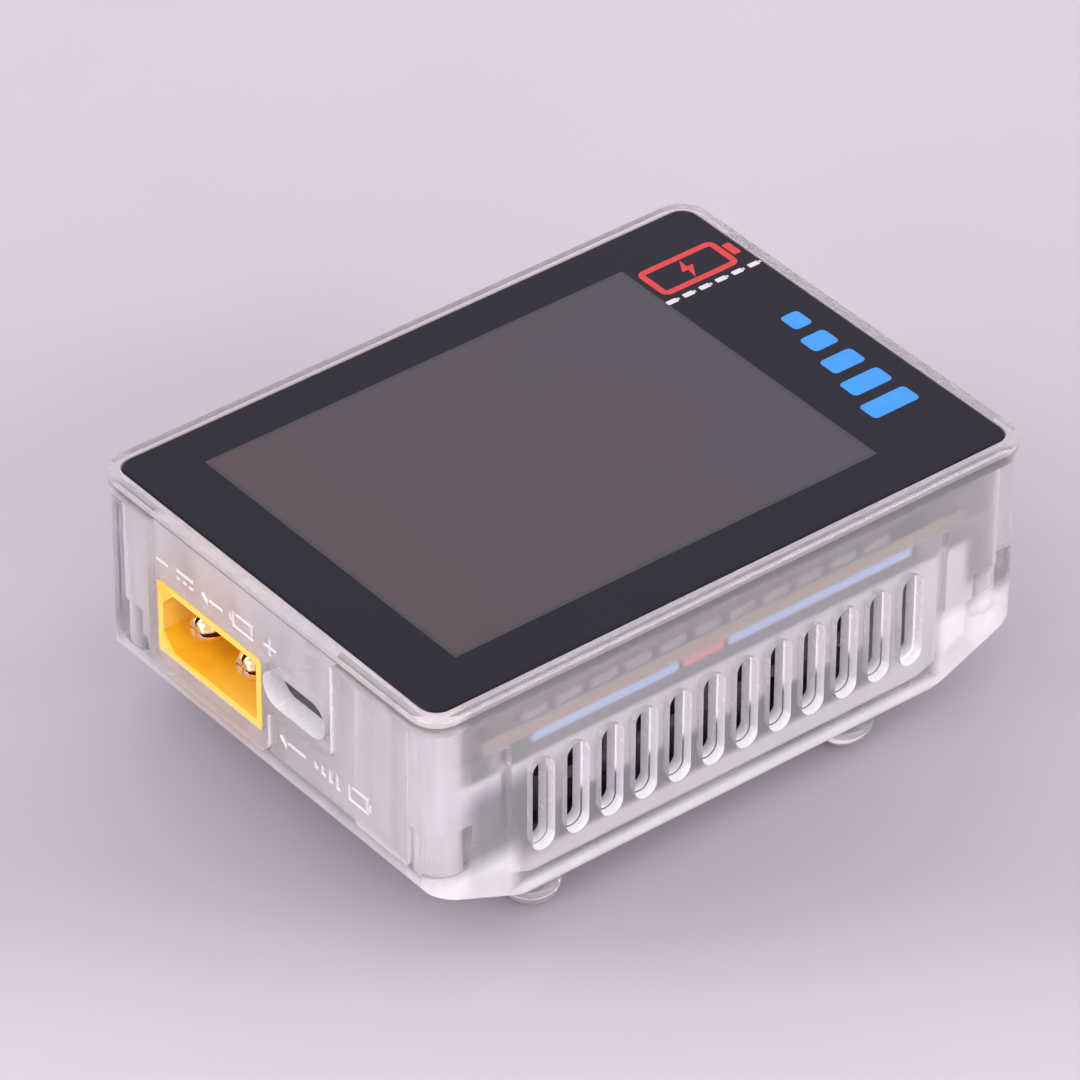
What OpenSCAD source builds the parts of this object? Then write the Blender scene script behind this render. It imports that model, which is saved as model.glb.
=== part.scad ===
// Pocket balance charger: clear two-part case, touch screen on top, fan and heat sink inside.
// Origin: middle of the footprint, on the surface the feet stand on. +X is the output end.

/* [Case] */
// Length of the case along X
case_length = 71.2; // [71:0.1:73]
// Width of the case along Y
case_width = 51; // [51:0.1:53]
// Height from the underside of the feet to the top of the glass
total_height = 28; // [28:0.1:29]
// Corner radius of the rim, seen from above
rim_corner = 3.2; // [2.6:0.1:4]
// Height of the upper shell's rim
rim_height = 2; // [1.8:0.1:2.4]
// Thickness of the case walls
wall = 2.2; // [2:0.1:2.3]
// Thickness of the case floor
floor_thickness = 1.8; // [1.6:0.1:2]
// How far the lower shell stands back from the rim
step_back = 0.3; // [0.2:0.05:0.5]
// Height of the end bevel under the case
bevel_height = 5.2; // [4:0.1:6]
// Length of the end bevel under the case
bevel_length = 12.2; // [10:0.1:13]

/* [Side vents] */
// Number of vent slots in each long side
vent_count = 12; // [8:1:12]
// Distance between neighbouring vent slots
vent_pitch = 4; // [3.8:0.1:4]
// Width of a vent slot
vent_width = 2.6; // [2:0.1:2.8]
// Height of a vent slot
vent_height = 10.4; // [8:0.2:10.8]
// Middle of the row of vent slots along X
vent_middle = -0.5; // [-1:0.1:0]

/* [Feet] */
// Height of a foot
foot_height = 2.8; // [2.4:0.1:3]
// Radius of a foot where it meets the case
foot_radius = 2.9; // [2.6:0.1:3]
// Radius of the flat under a foot
foot_flat = 1.2; // [0.8:0.1:1.4]
// Places of the feet along X
foot_x = [-21.8, 15.8];
// Distance of the feet from the middle line
foot_y = 22.4; // [21:0.1:22.4]

/* [Screen] */
// Length of the cover glass
glass_length = 68.5; // [68:0.1:68.6]
// Width of the cover glass
glass_width = 48.2; // [48:0.1:48.3]
// Thickness of the cover glass
glass_thickness = 1.1; // [0.9:0.1:1.2]
// Length of the display module
display_length = 59.7; // [58:0.1:59.8]
// Width of the display module
display_width = 42.7; // [41:0.1:42.8]
// Middle of the display module
display_middle = [-0.05, 0.35];

/* [Power connectors] */
// Width of the two-pole connector housings
power_width = 15.9; // [15.6:0.1:16]
// Height of the two-pole connector housings
power_height = 8.1; // [7.9:0.1:8.1]
// Length of the two-pole connector housings
power_depth = 15.5; // [15:0.1:15.8]
// Distance between the two contacts
contact_pitch = 7.2; // [7:0.1:7.3]
// Radius of the round contacts
contact_radius = 1.75; // [1.7:0.01:1.8]
// Middle of the input connector along Y
input_y = 7.85; // [7.6:0.05:8]
// Middle of the output connector along Y
output_y = 9.85; // [9.7:0.05:9.9]

/* [Small ports] */
// Middle of the power delivery port along Y
small_port_y = -5.1; // [-5.2:0.05:-5]
// Width of the power delivery port's window
small_window_width = 9.4; // [9.2:0.1:9.4]
// Height of the power delivery port's window
small_window_height = 4; // [3.8:0.1:4.1]
// Middle of the balance port along Y
balance_y = -9.05; // [-9.2:0.05:-9]
// Width of the balance port's housing
balance_width = 19.9; // [19.7:0.1:19.9]
// Height of the balance port's housing
balance_height = 5.8; // [5.6:0.1:6]
// Number of pins in the balance port
balance_pins = 7; // [5:1:7]
// Distance between the pins of the balance port
balance_pitch = 2.5; // [2.4:0.1:2.5]

/* [Fan] */
// Side of the square fan frame
fan_side = 40; // [39:0.5:40]
// Thickness of the fan
fan_thickness = 7; // [6.8:0.1:7]
// Middle of the fan
fan_middle = [-0.5, -1];
// Number of fan blades
blade_count = 7; // [5:1:9]
// Radius of the fan's shaft
shaft_radius = 1; // [0.8:0.05:1.2]
// Radial running clearance of the shaft in its bearing
shaft_clearance = 0.03; // [0.02:0.01:0.06]

/* [Hidden] */
$fn = 48;
arc_steps = 6;

// Heights above the surface the case stands on
floor_z = foot_height;
part_z = total_height - rim_height;
glass_z = total_height - glass_thickness;
gasket_thickness = 0.3;
ledge_top = glass_z - gasket_thickness;
ledge_bottom = 25;
board_z = 20.4;
board_thickness = 1.6;
board_top = board_z + board_thickness;
power_z = board_z - power_height / 2;
fan_z = floor_z + floor_thickness;
fan_top = fan_z + fan_thickness;

// Shells
lower_length = case_length - 2 * step_back;
lower_width = case_width - 2 * step_back;
lower_corner = rim_corner - step_back;
bottom_round = 1.2;
bevel_angle = atan2(bevel_height, bevel_length);
inside_length = lower_length - 2 * wall;
inside_width = lower_width - 2 * wall;
shell_gap = 0.2;
lip_height = 2;
lip_thickness = 1;
opening_gap = 0.5;

// Corner posts and the screws in them
post_x = 31.6;
post_y = 21.6;
post_radius = 2.2;
post_split = 13.6;
head_seat = 8.6;
head_radius = 1.9;
screw_radius = 0.95;
screw_end = 18.6;

// Board ribs and the blocks that hold the board down
rib_x = 26;
rib_width = 1.2;
rib_depth = 1.6;

// Heat sink
sink_base_top = 18.3;
sink_flange_top = 19.25;
sink_base_bottom = 17;
sink_fin_bottom = fan_top + 0.4;
sink_half_x = 19.6;
sink_flange_half_x = 23;
sink_flange_inner_y = 18.1;
sink_flange_outer_y = 22.6;
fin_count = 13;
fin_pitch = 3;
fin_thickness = 1;
sink_screw_x = 14;
sink_screw_y = 18;

// Fan
fan_bore = 18.6;
fan_hub_radius = 10;
blade_tip = 18.1;
blade_pitch = 33;
fan_hole_half = 16;
fan_screw_radius = 1.2;
fan_screw_head = 2.2;
fan_flange = 1.4;

// Connectors
connector_rim = 0.75;
cavity_depth = 8.5;
contact_tip_recess = 1.1;
contact_shoulder = 0.3;
contact_tail = 2.5;
contact_slit = 2.5;
socket_wall = 0.45;
socket_depth = 8;
output_step = 9;
small_port_z = board_z - 1.6;
small_recess = 2.3;
small_port_width = 8.94;
small_port_height = 3.2;
small_port_depth = 7.3;
balance_depth = 9.6;

// ---------------------------------------------------------------------------- helpers

function unit(v) = v / norm(v);
function turn(a) = a > 180 ? a - 360 : a < -180 ? a + 360 : a;

// Points of the arc that rounds one corner of an outline
function corner_arc(before, corner, after, radius) =
    let (
        u = unit(before - corner),
        v = unit(after - corner),
        half = acos(u * v) / 2,
        centre = corner + unit(u + v) * radius / sin(half),
        first = corner + u * radius / tan(half) - centre,
        last = corner + v * radius / tan(half) - centre,
        start = atan2(first[1], first[0]),
        sweep = turn(atan2(last[1], last[0]) - start)
    )
    [for (i = [0 : arc_steps]) centre + radius * [cos(start + sweep * i / arc_steps),
                                                  sin(start + sweep * i / arc_steps)]];

// An outline with each corner rounded by its own radius; 0 leaves a corner sharp
function rounded_outline(points, radii) =
    let (n = len(points))
    [for (i = [0 : n - 1])
        each (radii[i] == 0 ? [points[i]]
              : corner_arc(points[(i + n - 1) % n], points[i], points[(i + 1) % n], radii[i]))];

module rounded_rect(size, radius) {
    half = size / 2;
    polygon(rounded_outline([[-half[0], -half[1]], [half[0], -half[1]], half, [-half[0], half[1]]],
                            [radius, radius, radius, radius]));
}

module rounded_plate(size, radius, bottom, top) {
    translate([0, 0, bottom]) linear_extrude(top - bottom) rounded_rect(size, radius);
}

// A box given by its lowest and highest corners
module box(low, high) {
    translate(low) cube(high - low);
}

module rod(bottom, top, radius) {
    translate([0, 0, bottom]) cylinder(h = top - bottom, r = radius);
}

// Children copied to the four corners of a rectangle
module four_corners(x, y) {
    for (sx = [-1, 1], sy = [-1, 1]) translate([sx * x, sy * y, 0]) children();
}

// A flat shape drawn in Y and Z, pushed along X from one place to another
module push_x(from, to) {
    translate([from, 0, 0]) rotate([90, 0, 90]) linear_extrude(to - from) children();
}

// A flat shape drawn in X and Z, pushed along Y from one place to another
module push_y(from, to) {
    translate([0, to, 0]) rotate([90, 0, 0]) linear_extrude(to - from) children();
}

// A thin round wire through a list of points
module wire(points, radius) {
    for (i = [0 : len(points) - 2])
        hull() {
            translate(points[i]) sphere(r = radius, $fn = 12);
            translate(points[i + 1]) sphere(r = radius, $fn = 12);
        }
}

// A point of the smooth curve through a route, t running from 0 to the last point's number
function route_point(route, t) =
    let (
        last = len(route) - 1,
        i = min(floor(t), last - 1),
        f = t - i,
        p0 = route[max(i - 1, 0)],
        p1 = route[i],
        p2 = route[i + 1],
        p3 = route[min(i + 2, last)]
    )
    (2 * p1 + (p2 - p0) * f + (2 * p0 - 5 * p1 + 4 * p2 - p3) * f * f
     + (3 * p1 - p0 - 3 * p2 + p3) * f * f * f) / 2;

// ---------------------------------------------------------------------------- shells

// Outline of the lower shell seen from the long side, with its walls and floor moved inwards
function side_outline(inset, floor_inset, top) =
    let (
        x = lower_length / 2 - inset,
        slant = floor_inset / cos(bevel_angle),
        wall_z = floor_z + bevel_height - inset * tan(bevel_angle) + slant,
        flat_x = lower_length / 2 - bevel_length - (slant - floor_inset) / tan(bevel_angle)
    )
    rounded_outline([[-x, top], [-x, wall_z], [-flat_x, floor_z + floor_inset],
                     [flat_x, floor_z + floor_inset], [x, wall_z], [x, top]],
                    [0, 1.5, 4, 4, 1.5, 0]);

// Outline of the lower shell seen from the end, with its walls and floor moved inwards
function end_outline(inset, floor_inset, top) =
    let (
        y = lower_width / 2 - inset,
        round = max(bottom_round - inset, 0.3)
    )
    rounded_outline([[-y, top], [-y, floor_z + floor_inset], [y, floor_z + floor_inset],
                     [y, top]],
                    [0, round, round, 0]);

module case_solid(inset, floor_inset, top) {
    intersection() {
        rounded_plate([lower_length, lower_width] - 2 * inset * [1, 1],
                      max(lower_corner - inset, 1), floor_z, top);
        push_y(-lower_width, lower_width) polygon(side_outline(inset, floor_inset, top));
        push_x(-lower_length, lower_length) polygon(end_outline(inset, floor_inset, top));
    }
}

// Outline, in Y and Z, of the connector panel that reaches down from the rim at one end
function panel_outline(low_y, step_y, high_y, low_z, step_z, grow) =
    rounded_outline([[low_y - grow, part_z + 0.4], [low_y - grow, step_z - grow],
                     [step_y - grow, step_z - grow], [step_y - grow, low_z - grow],
                     [high_y + grow, low_z - grow], [high_y + grow, part_z + 0.4]],
                    [0, 1.5, 0.8, 1.5, 1.5, 0]);

function input_panel(grow) = panel_outline(-10.6, -1, 17.3, 9.9, 15.1, grow);
function output_panel(grow) = panel_outline(-20.2, 0.9, 18.9, 9.9, 13.4, grow);

module vent_slots() {
    for (i = [0 : vent_count - 1])
        translate([vent_middle + (i - (vent_count - 1) / 2) * vent_pitch, 0, 12.9])
            rotate([90, 0, 0])
                linear_extrude(case_width + 2, center = true) {
                    square([vent_width, vent_height - vent_width], center = true);
                    for (s = [-1, 1])
                        translate([0, s * (vent_height - vent_width) / 2])
                            circle(d = vent_width);
                }
}

// Ring-shaped intake slots under the fan, bridged by six spokes
module intake_grille() {
    translate([fan_middle[0], fan_middle[1], floor_z - 1])
        difference() {
            for (r = [5.2 : 3.4 : 15.5])
                difference() {
                    cylinder(h = floor_thickness + 2, r = r + 2);
                    translate([0, 0, -1]) cylinder(h = floor_thickness + 4, r = r);
                }
            for (a = [0 : 60 : 150])
                rotate([0, 0, a]) cube([40, 1.6, 20], center = true);
        }
}

module fan_holes(radius, bottom, top) {
    translate([fan_middle[0], fan_middle[1], 0])
        four_corners(fan_hole_half, fan_hole_half) rod(bottom, top, radius);
}

module lower_shell() {
    color([0.9, 0.9, 0.95, 0.4])
    difference() {
        union() {
            difference() {
                case_solid(0, 0, part_z);
                case_solid(wall, floor_thickness, part_z + 1);
            }
            intersection() {
                case_solid(0.5, 0.5, part_z - 1);
                union() {
                    four_corners(post_x, post_y) rod(floor_z, head_seat + 2.2, 2.9);
                    four_corners(post_x, post_y) rod(floor_z, post_split, post_radius);
                    for (sx = [-1, 1], sy = [-1, 1])
                        translate([sx * rib_x, sy * (inside_width / 2 - rib_depth / 2 + 0.4),
                                   (floor_z + board_z) / 2])
                            cube([rib_width, rib_depth + 0.8, board_z - floor_z], center = true);
                }
            }
        }
        push_x(-case_length, -inside_length / 2 + 0.6) polygon(input_panel(0.15));
        push_x(inside_length / 2 - 0.6, case_length) polygon(output_panel(0.15));
        vent_slots();
        intake_grille();
        four_corners(post_x, post_y) rod(-1, head_seat, head_radius + 0.1);
        four_corners(post_x, post_y) rod(-1, post_split + 1, screw_radius + 0.15);
        fan_holes(fan_screw_radius + 0.15, 0, fan_z + 1);
        translate([fan_middle[0], fan_middle[1], 0])
            four_corners(fan_hole_half, fan_hole_half)
                translate([0, 0, floor_z - 0.01])
                    cylinder(h = 1.01, r1 = fan_screw_head + 0.1, r2 = fan_screw_radius + 0.15);
    }
}

module power_window(y, grow) {
    translate([y, power_z])
        rounded_rect([power_width + 2 * grow, power_height + 2 * grow], 0.8);
}

module small_window() {
    translate([small_port_y, board_z + 0.15 - small_window_height / 2])
        hull()
            for (s = [-1, 1])
                translate([s * (small_window_width - small_window_height) / 2, 0])
                    circle(d = small_window_height);
}

module upper_shell() {
    color([0.92, 0.92, 0.97, 0.4])
    difference() {
        union() {
            rounded_plate([case_length, case_width], rim_corner, part_z, total_height);
            rounded_plate([inside_length, inside_width] - 2 * shell_gap * [1, 1], 1.2,
                          ledge_bottom, part_z + 0.2);
            difference() {
                rounded_plate([inside_length, inside_width] - 2 * shell_gap * [1, 1], 1.2,
                              part_z - lip_height, part_z);
                rounded_plate([inside_length, inside_width]
                              - 2 * (shell_gap + lip_thickness) * [1, 1], 0.6,
                              part_z - lip_height - 1, part_z);
            }
            // Connector panels
            push_x(-case_length / 2, -case_length / 2 + wall) polygon(input_panel(0));
            push_x(case_length / 2 - wall, case_length / 2) polygon(output_panel(0));
            // Collar that deepens the window of the power delivery port
            push_x(-case_length / 2 + 1, -case_length / 2 + small_recess)
                translate([small_port_y, board_z - 1.9])
                    square([small_window_width + 1.2, small_window_height + 1], center = true);
            intersection() {
                rounded_plate([inside_length, inside_width] - 2 * shell_gap * [1, 1], 1.2,
                              post_split, part_z);
                union() {
                    four_corners(post_x, post_y) rod(post_split, part_z, post_radius);
                    // Blocks that hold the board down on its ribs
                    for (sx = [-1, 1], sy = [-1, 1])
                        translate([sx * rib_x, sy * (inside_width / 2 - 0.8),
                                   (board_top + part_z) / 2])
                            cube([2.4, 1.2, part_z - board_top], center = true);
                }
            }
        }
        rounded_plate([glass_length + 0.2, glass_width + 0.2], 1.9, ledge_top,
                      total_height + 1);
        translate([display_middle[0], display_middle[1], 0])
            rounded_plate([display_length, display_width] + 2 * [opening_gap + 0.6, opening_gap],
                          0.6, board_top + 0.5, total_height);
        push_x(-case_length, -inside_length / 2 + 1) power_window(input_y, 0.12);
        push_x(inside_length / 2 - 1, case_length) power_window(output_y, 0.3);
        push_x(-case_length, -inside_length / 2 + 1) small_window();
        push_x(inside_length / 2 - 1, case_length)
            translate([balance_y, board_z - balance_height / 2])
                square([balance_width + 0.2, balance_height + 0.2], center = true);
        four_corners(post_x, post_y) rod(0, screw_end + 0.6, screw_radius);
    }
}

module cover_glass() {
    color([0.12, 0.11, 0.14])
    rounded_plate([glass_length, glass_width], 1.8, glass_z, total_height);
}

module glass_gasket() {
    color([0.05, 0.05, 0.05])
    difference() {
        rounded_plate([glass_length - 0.4, glass_width - 0.4], 1.6, ledge_top, glass_z);
        translate([display_middle[0], display_middle[1], 0])
            rounded_plate([display_length, display_width] + 2 * [opening_gap + 0.6, opening_gap],
                          0.6, ledge_top - 1, glass_z + 1);
    }
}

// ---------------------------------------------------------------------------- display

lcd_thickness = 1.5;
lcd_z = glass_z - lcd_thickness;
tray_z = lcd_z - 1.9;
tray_wall = 0.4;
flex_thickness = 0.2;
display_flex_y = -2.7;
display_flex_half = 6.4;
display_flex_end = 26.1;
display_end_x = display_middle[0] + display_length / 2;
display_start_x = display_middle[0] - display_length / 2;

// A box as wide and long as the display, shrunk by inset
module display_slab(inset, bottom, top) {
    translate([display_middle[0], display_middle[1], 0])
        rounded_plate([display_length, display_width] - 2 * inset * [1, 1], 0.5, bottom, top);
}

module lcd_panel() {
    color([0.35, 0.33, 0.37])
    display_slab(0, lcd_z, glass_z);
}

module backlight_tray() {
    color([0.75, 0.76, 0.78])
    difference() {
        display_slab(0, tray_z, lcd_z);
        display_slab(tray_wall, tray_z + tray_wall, lcd_z + 1);
    }
}

module light_guide() {
    color([0.95, 0.97, 1])
    display_slab(tray_wall + 0.1, tray_z + tray_wall, lcd_z);
}

module display_flex() {
    bend_x = display_end_x + 0.75;
    color([0.8, 0.5, 0.15])
    translate([0, display_flex_y, 0])
        push_y(-display_flex_half, display_flex_half)
            polygon([[display_end_x, lcd_z + 0.5], [bend_x, lcd_z + 0.5],
                     [bend_x, board_top + 0.6], [display_flex_end, board_top + 0.6],
                     [display_flex_end, board_top + 0.6 + flex_thickness],
                     [bend_x - flex_thickness, board_top + 0.6 + flex_thickness],
                     [bend_x - flex_thickness, lcd_z + 0.5 - flex_thickness],
                     [display_end_x, lcd_z + 0.5 - flex_thickness]]);
}

module display_socket() {
    color([0.9, 0.88, 0.8])
    difference() {
        box([display_flex_end - 2.5, display_flex_y - display_flex_half - 0.9, board_top],
            [display_flex_end + 1.1, display_flex_y + display_flex_half + 0.9, board_top + 1.2]);
        box([display_flex_end, display_flex_y - display_flex_half - 0.1, board_top + 0.5],
            [display_flex_end + 2, display_flex_y + display_flex_half + 0.1,
             board_top + 0.7 + flex_thickness]);
    }
}

module touch_flex() {
    bend_x = display_start_x - 0.55;
    color([0.75, 0.45, 0.12])
    translate([0, 6, 0])
        push_y(-4, 4)
            polygon([[bend_x, glass_z], [bend_x - 0.15, glass_z],
                     [bend_x - 0.15, board_top + 0.45], [-27.9, board_top + 0.45],
                     [-27.9, board_top + 0.6], [bend_x, board_top + 0.6]]);
}

module touch_socket() {
    color([0.12, 0.12, 0.12])
    difference() {
        box([-29.4, 1, board_top], [-26.4, 11, board_top + 1.1]);
        box([-30, 1.9, board_top + 0.4], [-27.9, 10.1, board_top + 0.65]);
    }
}

// ---------------------------------------------------------------------------- board

board_half_x = 32.6;
board_half_y = 22.7;
lead_radius = 0.9;
lead_x = 24.5;

function balance_pin_y(i) = balance_y + (i - (balance_pins - 1) / 2) * balance_pitch;

module main_board() {
    color([0.1, 0.22, 0.14])
    difference() {
        box([-board_half_x, -board_half_y, board_z], [board_half_x, board_half_y, board_top]);
        four_corners(board_half_x, board_half_y)
            cube([8.4, 8.4, 50], center = true);
        for (s = [-1, 1]) {
            translate([-lead_x, input_y + s * contact_pitch / 2, 0])
                rod(board_z - 1, board_top + 1, lead_radius + 0.1);
            translate([lead_x, output_y + s * contact_pitch / 2, 0])
                rod(board_z - 1, board_top + 1, lead_radius + 0.1);
        }
        for (i = [0 : balance_pins - 1])
            translate([28, balance_pin_y(i), 0]) rod(board_z - 1, board_top + 1, 0.55);
        four_corners(sink_screw_x, sink_screw_y) rod(board_z - 1, board_top + 1, 1.15);
    }
}

// A chip: body with rows of short leads along its two long sides
module leaded_chip(length, width, height, leads) {
    box([-length / 2, -width / 2, 0.1], [length / 2, width / 2, height]);
    for (i = [0 : leads - 1], s = [-1, 1])
        translate([(i - (leads - 1) / 2) * length / leads, s * (width / 2 + 0.4), 0.25])
            cube([0.4, 0.9, 0.5], center = true);
}

module microcontroller() {
    color([0.08, 0.08, 0.09])
    translate([-6, 3, board_top]) {
        box([-5, -5, 0.1], [5, 5, 1.3]);
        for (i = [0 : 11], a = [0, 90, 180, 270])
            rotate([0, 0, a])
                translate([(i - 5.5) * 0.75, 5.4, 0.25]) cube([0.35, 0.9, 0.5], center = true);
    }
}

module driver_chips() {
    color([0.09, 0.09, 0.1])
    for (place = [[12, 8], [12, -6], [-20, 12], [-20, -4]])
        translate([place[0], place[1], board_top]) leaded_chip(5, 3.9, 1.25, 4);
}

module power_transistors() {
    color([0.1, 0.1, 0.11])
    for (i = [0 : 3], j = [0, 1])
        translate([-11.4 + i * 7.6, -5 + j * 10, board_z - 0.45])
            cube([5.2, 6.2, 0.9], center = true);
}

module board_capacitors() {
    color([0.66, 0.62, 0.58])
    for (i = [0 : 10], s = [-1, 1])
        translate([-22.4 + i * 4.05, s * 21.8, board_top + 0.55])
            cube([3, 1.5, 1.1], center = true);
}

module bulk_capacitors() {
    color([0.55, 0.56, 0.6])
    for (y = [-14.4, -8.1, -1.8])
        translate([23.1, y, 0]) {
            rod(board_z - 6.6, board_z - 0.6, 2.5);
            translate([0, 0, board_z - 0.3]) cube([5.2, 5.2, 0.6], center = true);
        }
}

module power_inductors() {
    color([0.3, 0.3, 0.32])
    for (place = [[-29.5, -15.6, 6.2], [-26.4, 18.7, 5]])
        translate([place[0], place[1], 0])
            rounded_plate([place[2], place[2]], 0.8, board_z - 3.6, board_z);
}

module sense_resistors() {
    color([0.14, 0.14, 0.15])
    for (x = [-1, 7])
        translate([x, 15, board_top + 0.35]) cube([6.3, 3.2, 0.7], center = true);
}

module red_fuse() {
    color([0.75, 0.12, 0.15])
    box([-5.1, -22.6, sink_flange_top], [-0.2, -21.2, board_z]);
}

module buzzer() {
    color([0.1, 0.1, 0.1])
    translate([-22.9, -4.5, 0])
        difference() {
            rod(board_z - 3, board_z, 2.6);
            rod(board_z - 4, board_z - 2, 0.6);
        }
}

module crystal() {
    color([0.8, 0.8, 0.82])
    translate([6, 0, 0]) rounded_plate([3.2, 2.5], 0.4, board_top, board_top + 0.9);
}

// ---------------------------------------------------------------------------- cooling

module heat_sink() {
    color([0.1, 0.1, 0.11])
    difference() {
        union() {
            box([-sink_half_x, -sink_flange_inner_y, sink_base_bottom],
                [sink_half_x, sink_flange_inner_y, sink_base_top]);
            for (s = [-1, 1])
                translate([0, s * (sink_flange_inner_y + sink_flange_outer_y) / 2,
                           (sink_base_bottom + sink_flange_top) / 2])
                    cube([2 * sink_flange_half_x, sink_flange_outer_y - sink_flange_inner_y + 0.002,
                          sink_flange_top - sink_base_bottom], center = true);
            for (i = [0 : fin_count - 1])
                translate([(i - (fin_count - 1) / 2) * fin_pitch, 0,
                           (sink_fin_bottom + sink_base_bottom) / 2 + 0.1])
                    cube([fin_thickness, 2 * (sink_flange_outer_y - 1.2),
                          sink_base_bottom - sink_fin_bottom + 0.2], center = true);
        }
        four_corners(sink_screw_x, sink_screw_y) rod(sink_base_bottom + 0.4, board_z, screw_radius);
    }
}

module heat_sink_screws() {
    color([0.7, 0.7, 0.72])
    four_corners(sink_screw_x, sink_screw_y)
        difference() {
            union() {
                rod(sink_base_bottom + 0.5, board_top + 0.1, screw_radius);
                rod(board_top, board_top + 1.1, 1.7);
            }
            translate([0, 0, board_top + 0.9]) {
                cube([1.8, 0.4, 1], center = true);
                cube([0.4, 1.8, 1], center = true);
            }
        }
}

module edge_thermal_pads() {
    color([0.72, 0.82, 0.96])
    for (s = [-1, 1]) {
        box([-22.7, s > 0 ? 19.7 : -22.6, sink_flange_top],
            [-5.6, s > 0 ? 22.6 : -19.7, board_z]);
        box([0.3, s > 0 ? 19.7 : -22.6, sink_flange_top],
            [22.4, s > 0 ? 22.6 : -19.7, board_z]);
    }
}

module centre_thermal_pad() {
    color([0.72, 0.82, 0.96])
    box([-15, -9, sink_base_top], [15, 9, board_z - 0.9]);
}

module fan_frame() {
    hub_z = fan_top - fan_flange;
    color([0.1, 0.1, 0.11])
    translate([fan_middle[0], fan_middle[1], 0])
        difference() {
            union() {
                difference() {
                    union() {
                        rounded_plate([fan_side, fan_side], 3, fan_z, fan_z + fan_flange);
                        rounded_plate([fan_side, fan_side], 3, hub_z, fan_top);
                        rod(fan_z, fan_top, fan_bore + 1);
                        four_corners(fan_hole_half, fan_hole_half) rod(fan_z, fan_top, 2.6);
                    }
                    rod(fan_z - 1, fan_top + 1, fan_bore);
                }
                rod(hub_z, fan_top, 9.4);
                rod(hub_z - 3.6, fan_top, 2.6);
                intersection() {
                    rod(hub_z, fan_top, fan_bore + 0.5);
                    for (a = [45 : 90 : 135])
                        rotate([0, 0, a])
                            translate([0, 0, (hub_z + fan_top) / 2])
                                cube([40, 2.2, fan_flange], center = true);
                }
            }
            rod(hub_z - 4, hub_z + 0.6, 1.9);
            four_corners(fan_hole_half, fan_hole_half)
                rod(fan_z - 1, fan_top + 1, fan_screw_radius);
        }
}

module fan_stator() {
    hub_z = fan_top - fan_flange;
    color([0.72, 0.4, 0.2])
    translate([fan_middle[0], fan_middle[1], 0])
        difference() {
            union() {
                rod(hub_z - 2.6, hub_z - 0.6, 3.8);
                for (a = [0 : 90 : 270])
                    rotate([0, 0, a]) {
                        translate([4.9, 0, hub_z - 1.6]) cube([3.4, 3.4, 1.8], center = true);
                        translate([7, 0, hub_z - 1.6]) cube([1.2, 5, 1.6], center = true);
                    }
                rod(hub_z - 0.6, hub_z, 7.6);
            }
            rod(hub_z - 4, hub_z + 1, 2.6);
        }
}

module fan_bearing() {
    hub_z = fan_top - fan_flange;
    color([0.78, 0.6, 0.3])
    translate([fan_middle[0], fan_middle[1], 0])
        difference() {
            rod(hub_z - 3.6, hub_z + 0.6, 1.9);
            rod(hub_z - 4, hub_z + 0.3, shaft_radius + shaft_clearance);
        }
}

module fan_label() {
    color([0.75, 0.75, 0.77])
    translate([fan_middle[0], fan_middle[1], 0]) rod(fan_top, fan_top + 0.1, 8.8);
}

hub_bottom = fan_z + 0.4;
hub_top = fan_top - fan_flange - 0.5;

// One flat, pitched blade between the hub and the blade tips
module fan_blade() {
    low = hub_bottom + 0.1;
    high = hub_top - 0.1;
    intersection() {
        difference() {
            rod(low, high, blade_tip);
            rod(low - 1, high + 1, fan_hub_radius - 0.4);
        }
        translate([(fan_hub_radius + blade_tip) / 2, 0, (low + high) / 2])
            rotate([blade_pitch, 0, 0])
                cube([blade_tip - fan_hub_radius + 4, 30, 0.9], center = true);
    }
}

module fan_impeller() {
    color([0.14, 0.14, 0.15])
    translate([fan_middle[0], fan_middle[1], 0]) {
        difference() {
            rod(hub_bottom, hub_top, fan_hub_radius);
            rod(hub_bottom + 0.9, hub_top + 1, fan_hub_radius - 0.9);
            rod(hub_bottom + 0.4, hub_top + 1, shaft_radius);
        }
        for (i = [0 : blade_count - 1])
            rotate([0, 0, i * 360 / blade_count]) fan_blade();
    }
}

module fan_magnet() {
    color([0.25, 0.24, 0.24])
    translate([fan_middle[0], fan_middle[1], 0])
        difference() {
            rod(hub_bottom + 0.9, hub_top, fan_hub_radius - 0.9);
            rod(hub_bottom, hub_top + 1, fan_hub_radius - 1.7);
        }
}

module fan_shaft() {
    color([0.85, 0.85, 0.87])
    translate([fan_middle[0], fan_middle[1], 0])
        rod(hub_bottom + 0.4, fan_top - fan_flange + 0.2, shaft_radius);
}

module fan_screws() {
    color([0.3, 0.3, 0.32])
    translate([fan_middle[0], fan_middle[1], 0])
        four_corners(fan_hole_half, fan_hole_half)
            difference() {
                union() {
                    rod(floor_z + 0.5, floor_z + 7, fan_screw_radius);
                    translate([0, 0, floor_z])
                        cylinder(h = 1, r1 = fan_screw_head, r2 = fan_screw_radius);
                }
                translate([0, 0, floor_z]) {
                    cube([2.4, 0.5, 1], center = true);
                    cube([0.5, 2.4, 1], center = true);
                }
            }
}

// The fan's two wires run side by side from the fan's edge up to a plug under the board
plug_x = -24.4;
plug_y = -12.6;
lead_wire_radius = 0.45;
lead_spread = [0.35, 0.65];
lead_route = [[-21.6, -7, 10.9], [-22.2, -7.2, 10.9], [-22.8, -8, 10.7], [-24.2, -9.6, 10.9],
              [-25.2, -11.4, 12.2], [-25, -12.4, 14], [plug_x, plug_y, 15.2],
              [plug_x, plug_y, 16]];

function lead_points(shift) =
    [for (t = [0 : 0.5 : len(lead_route) - 1])
        route_point(lead_route, t) + shift * [-lead_spread[0], lead_spread[1], 0]];

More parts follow.
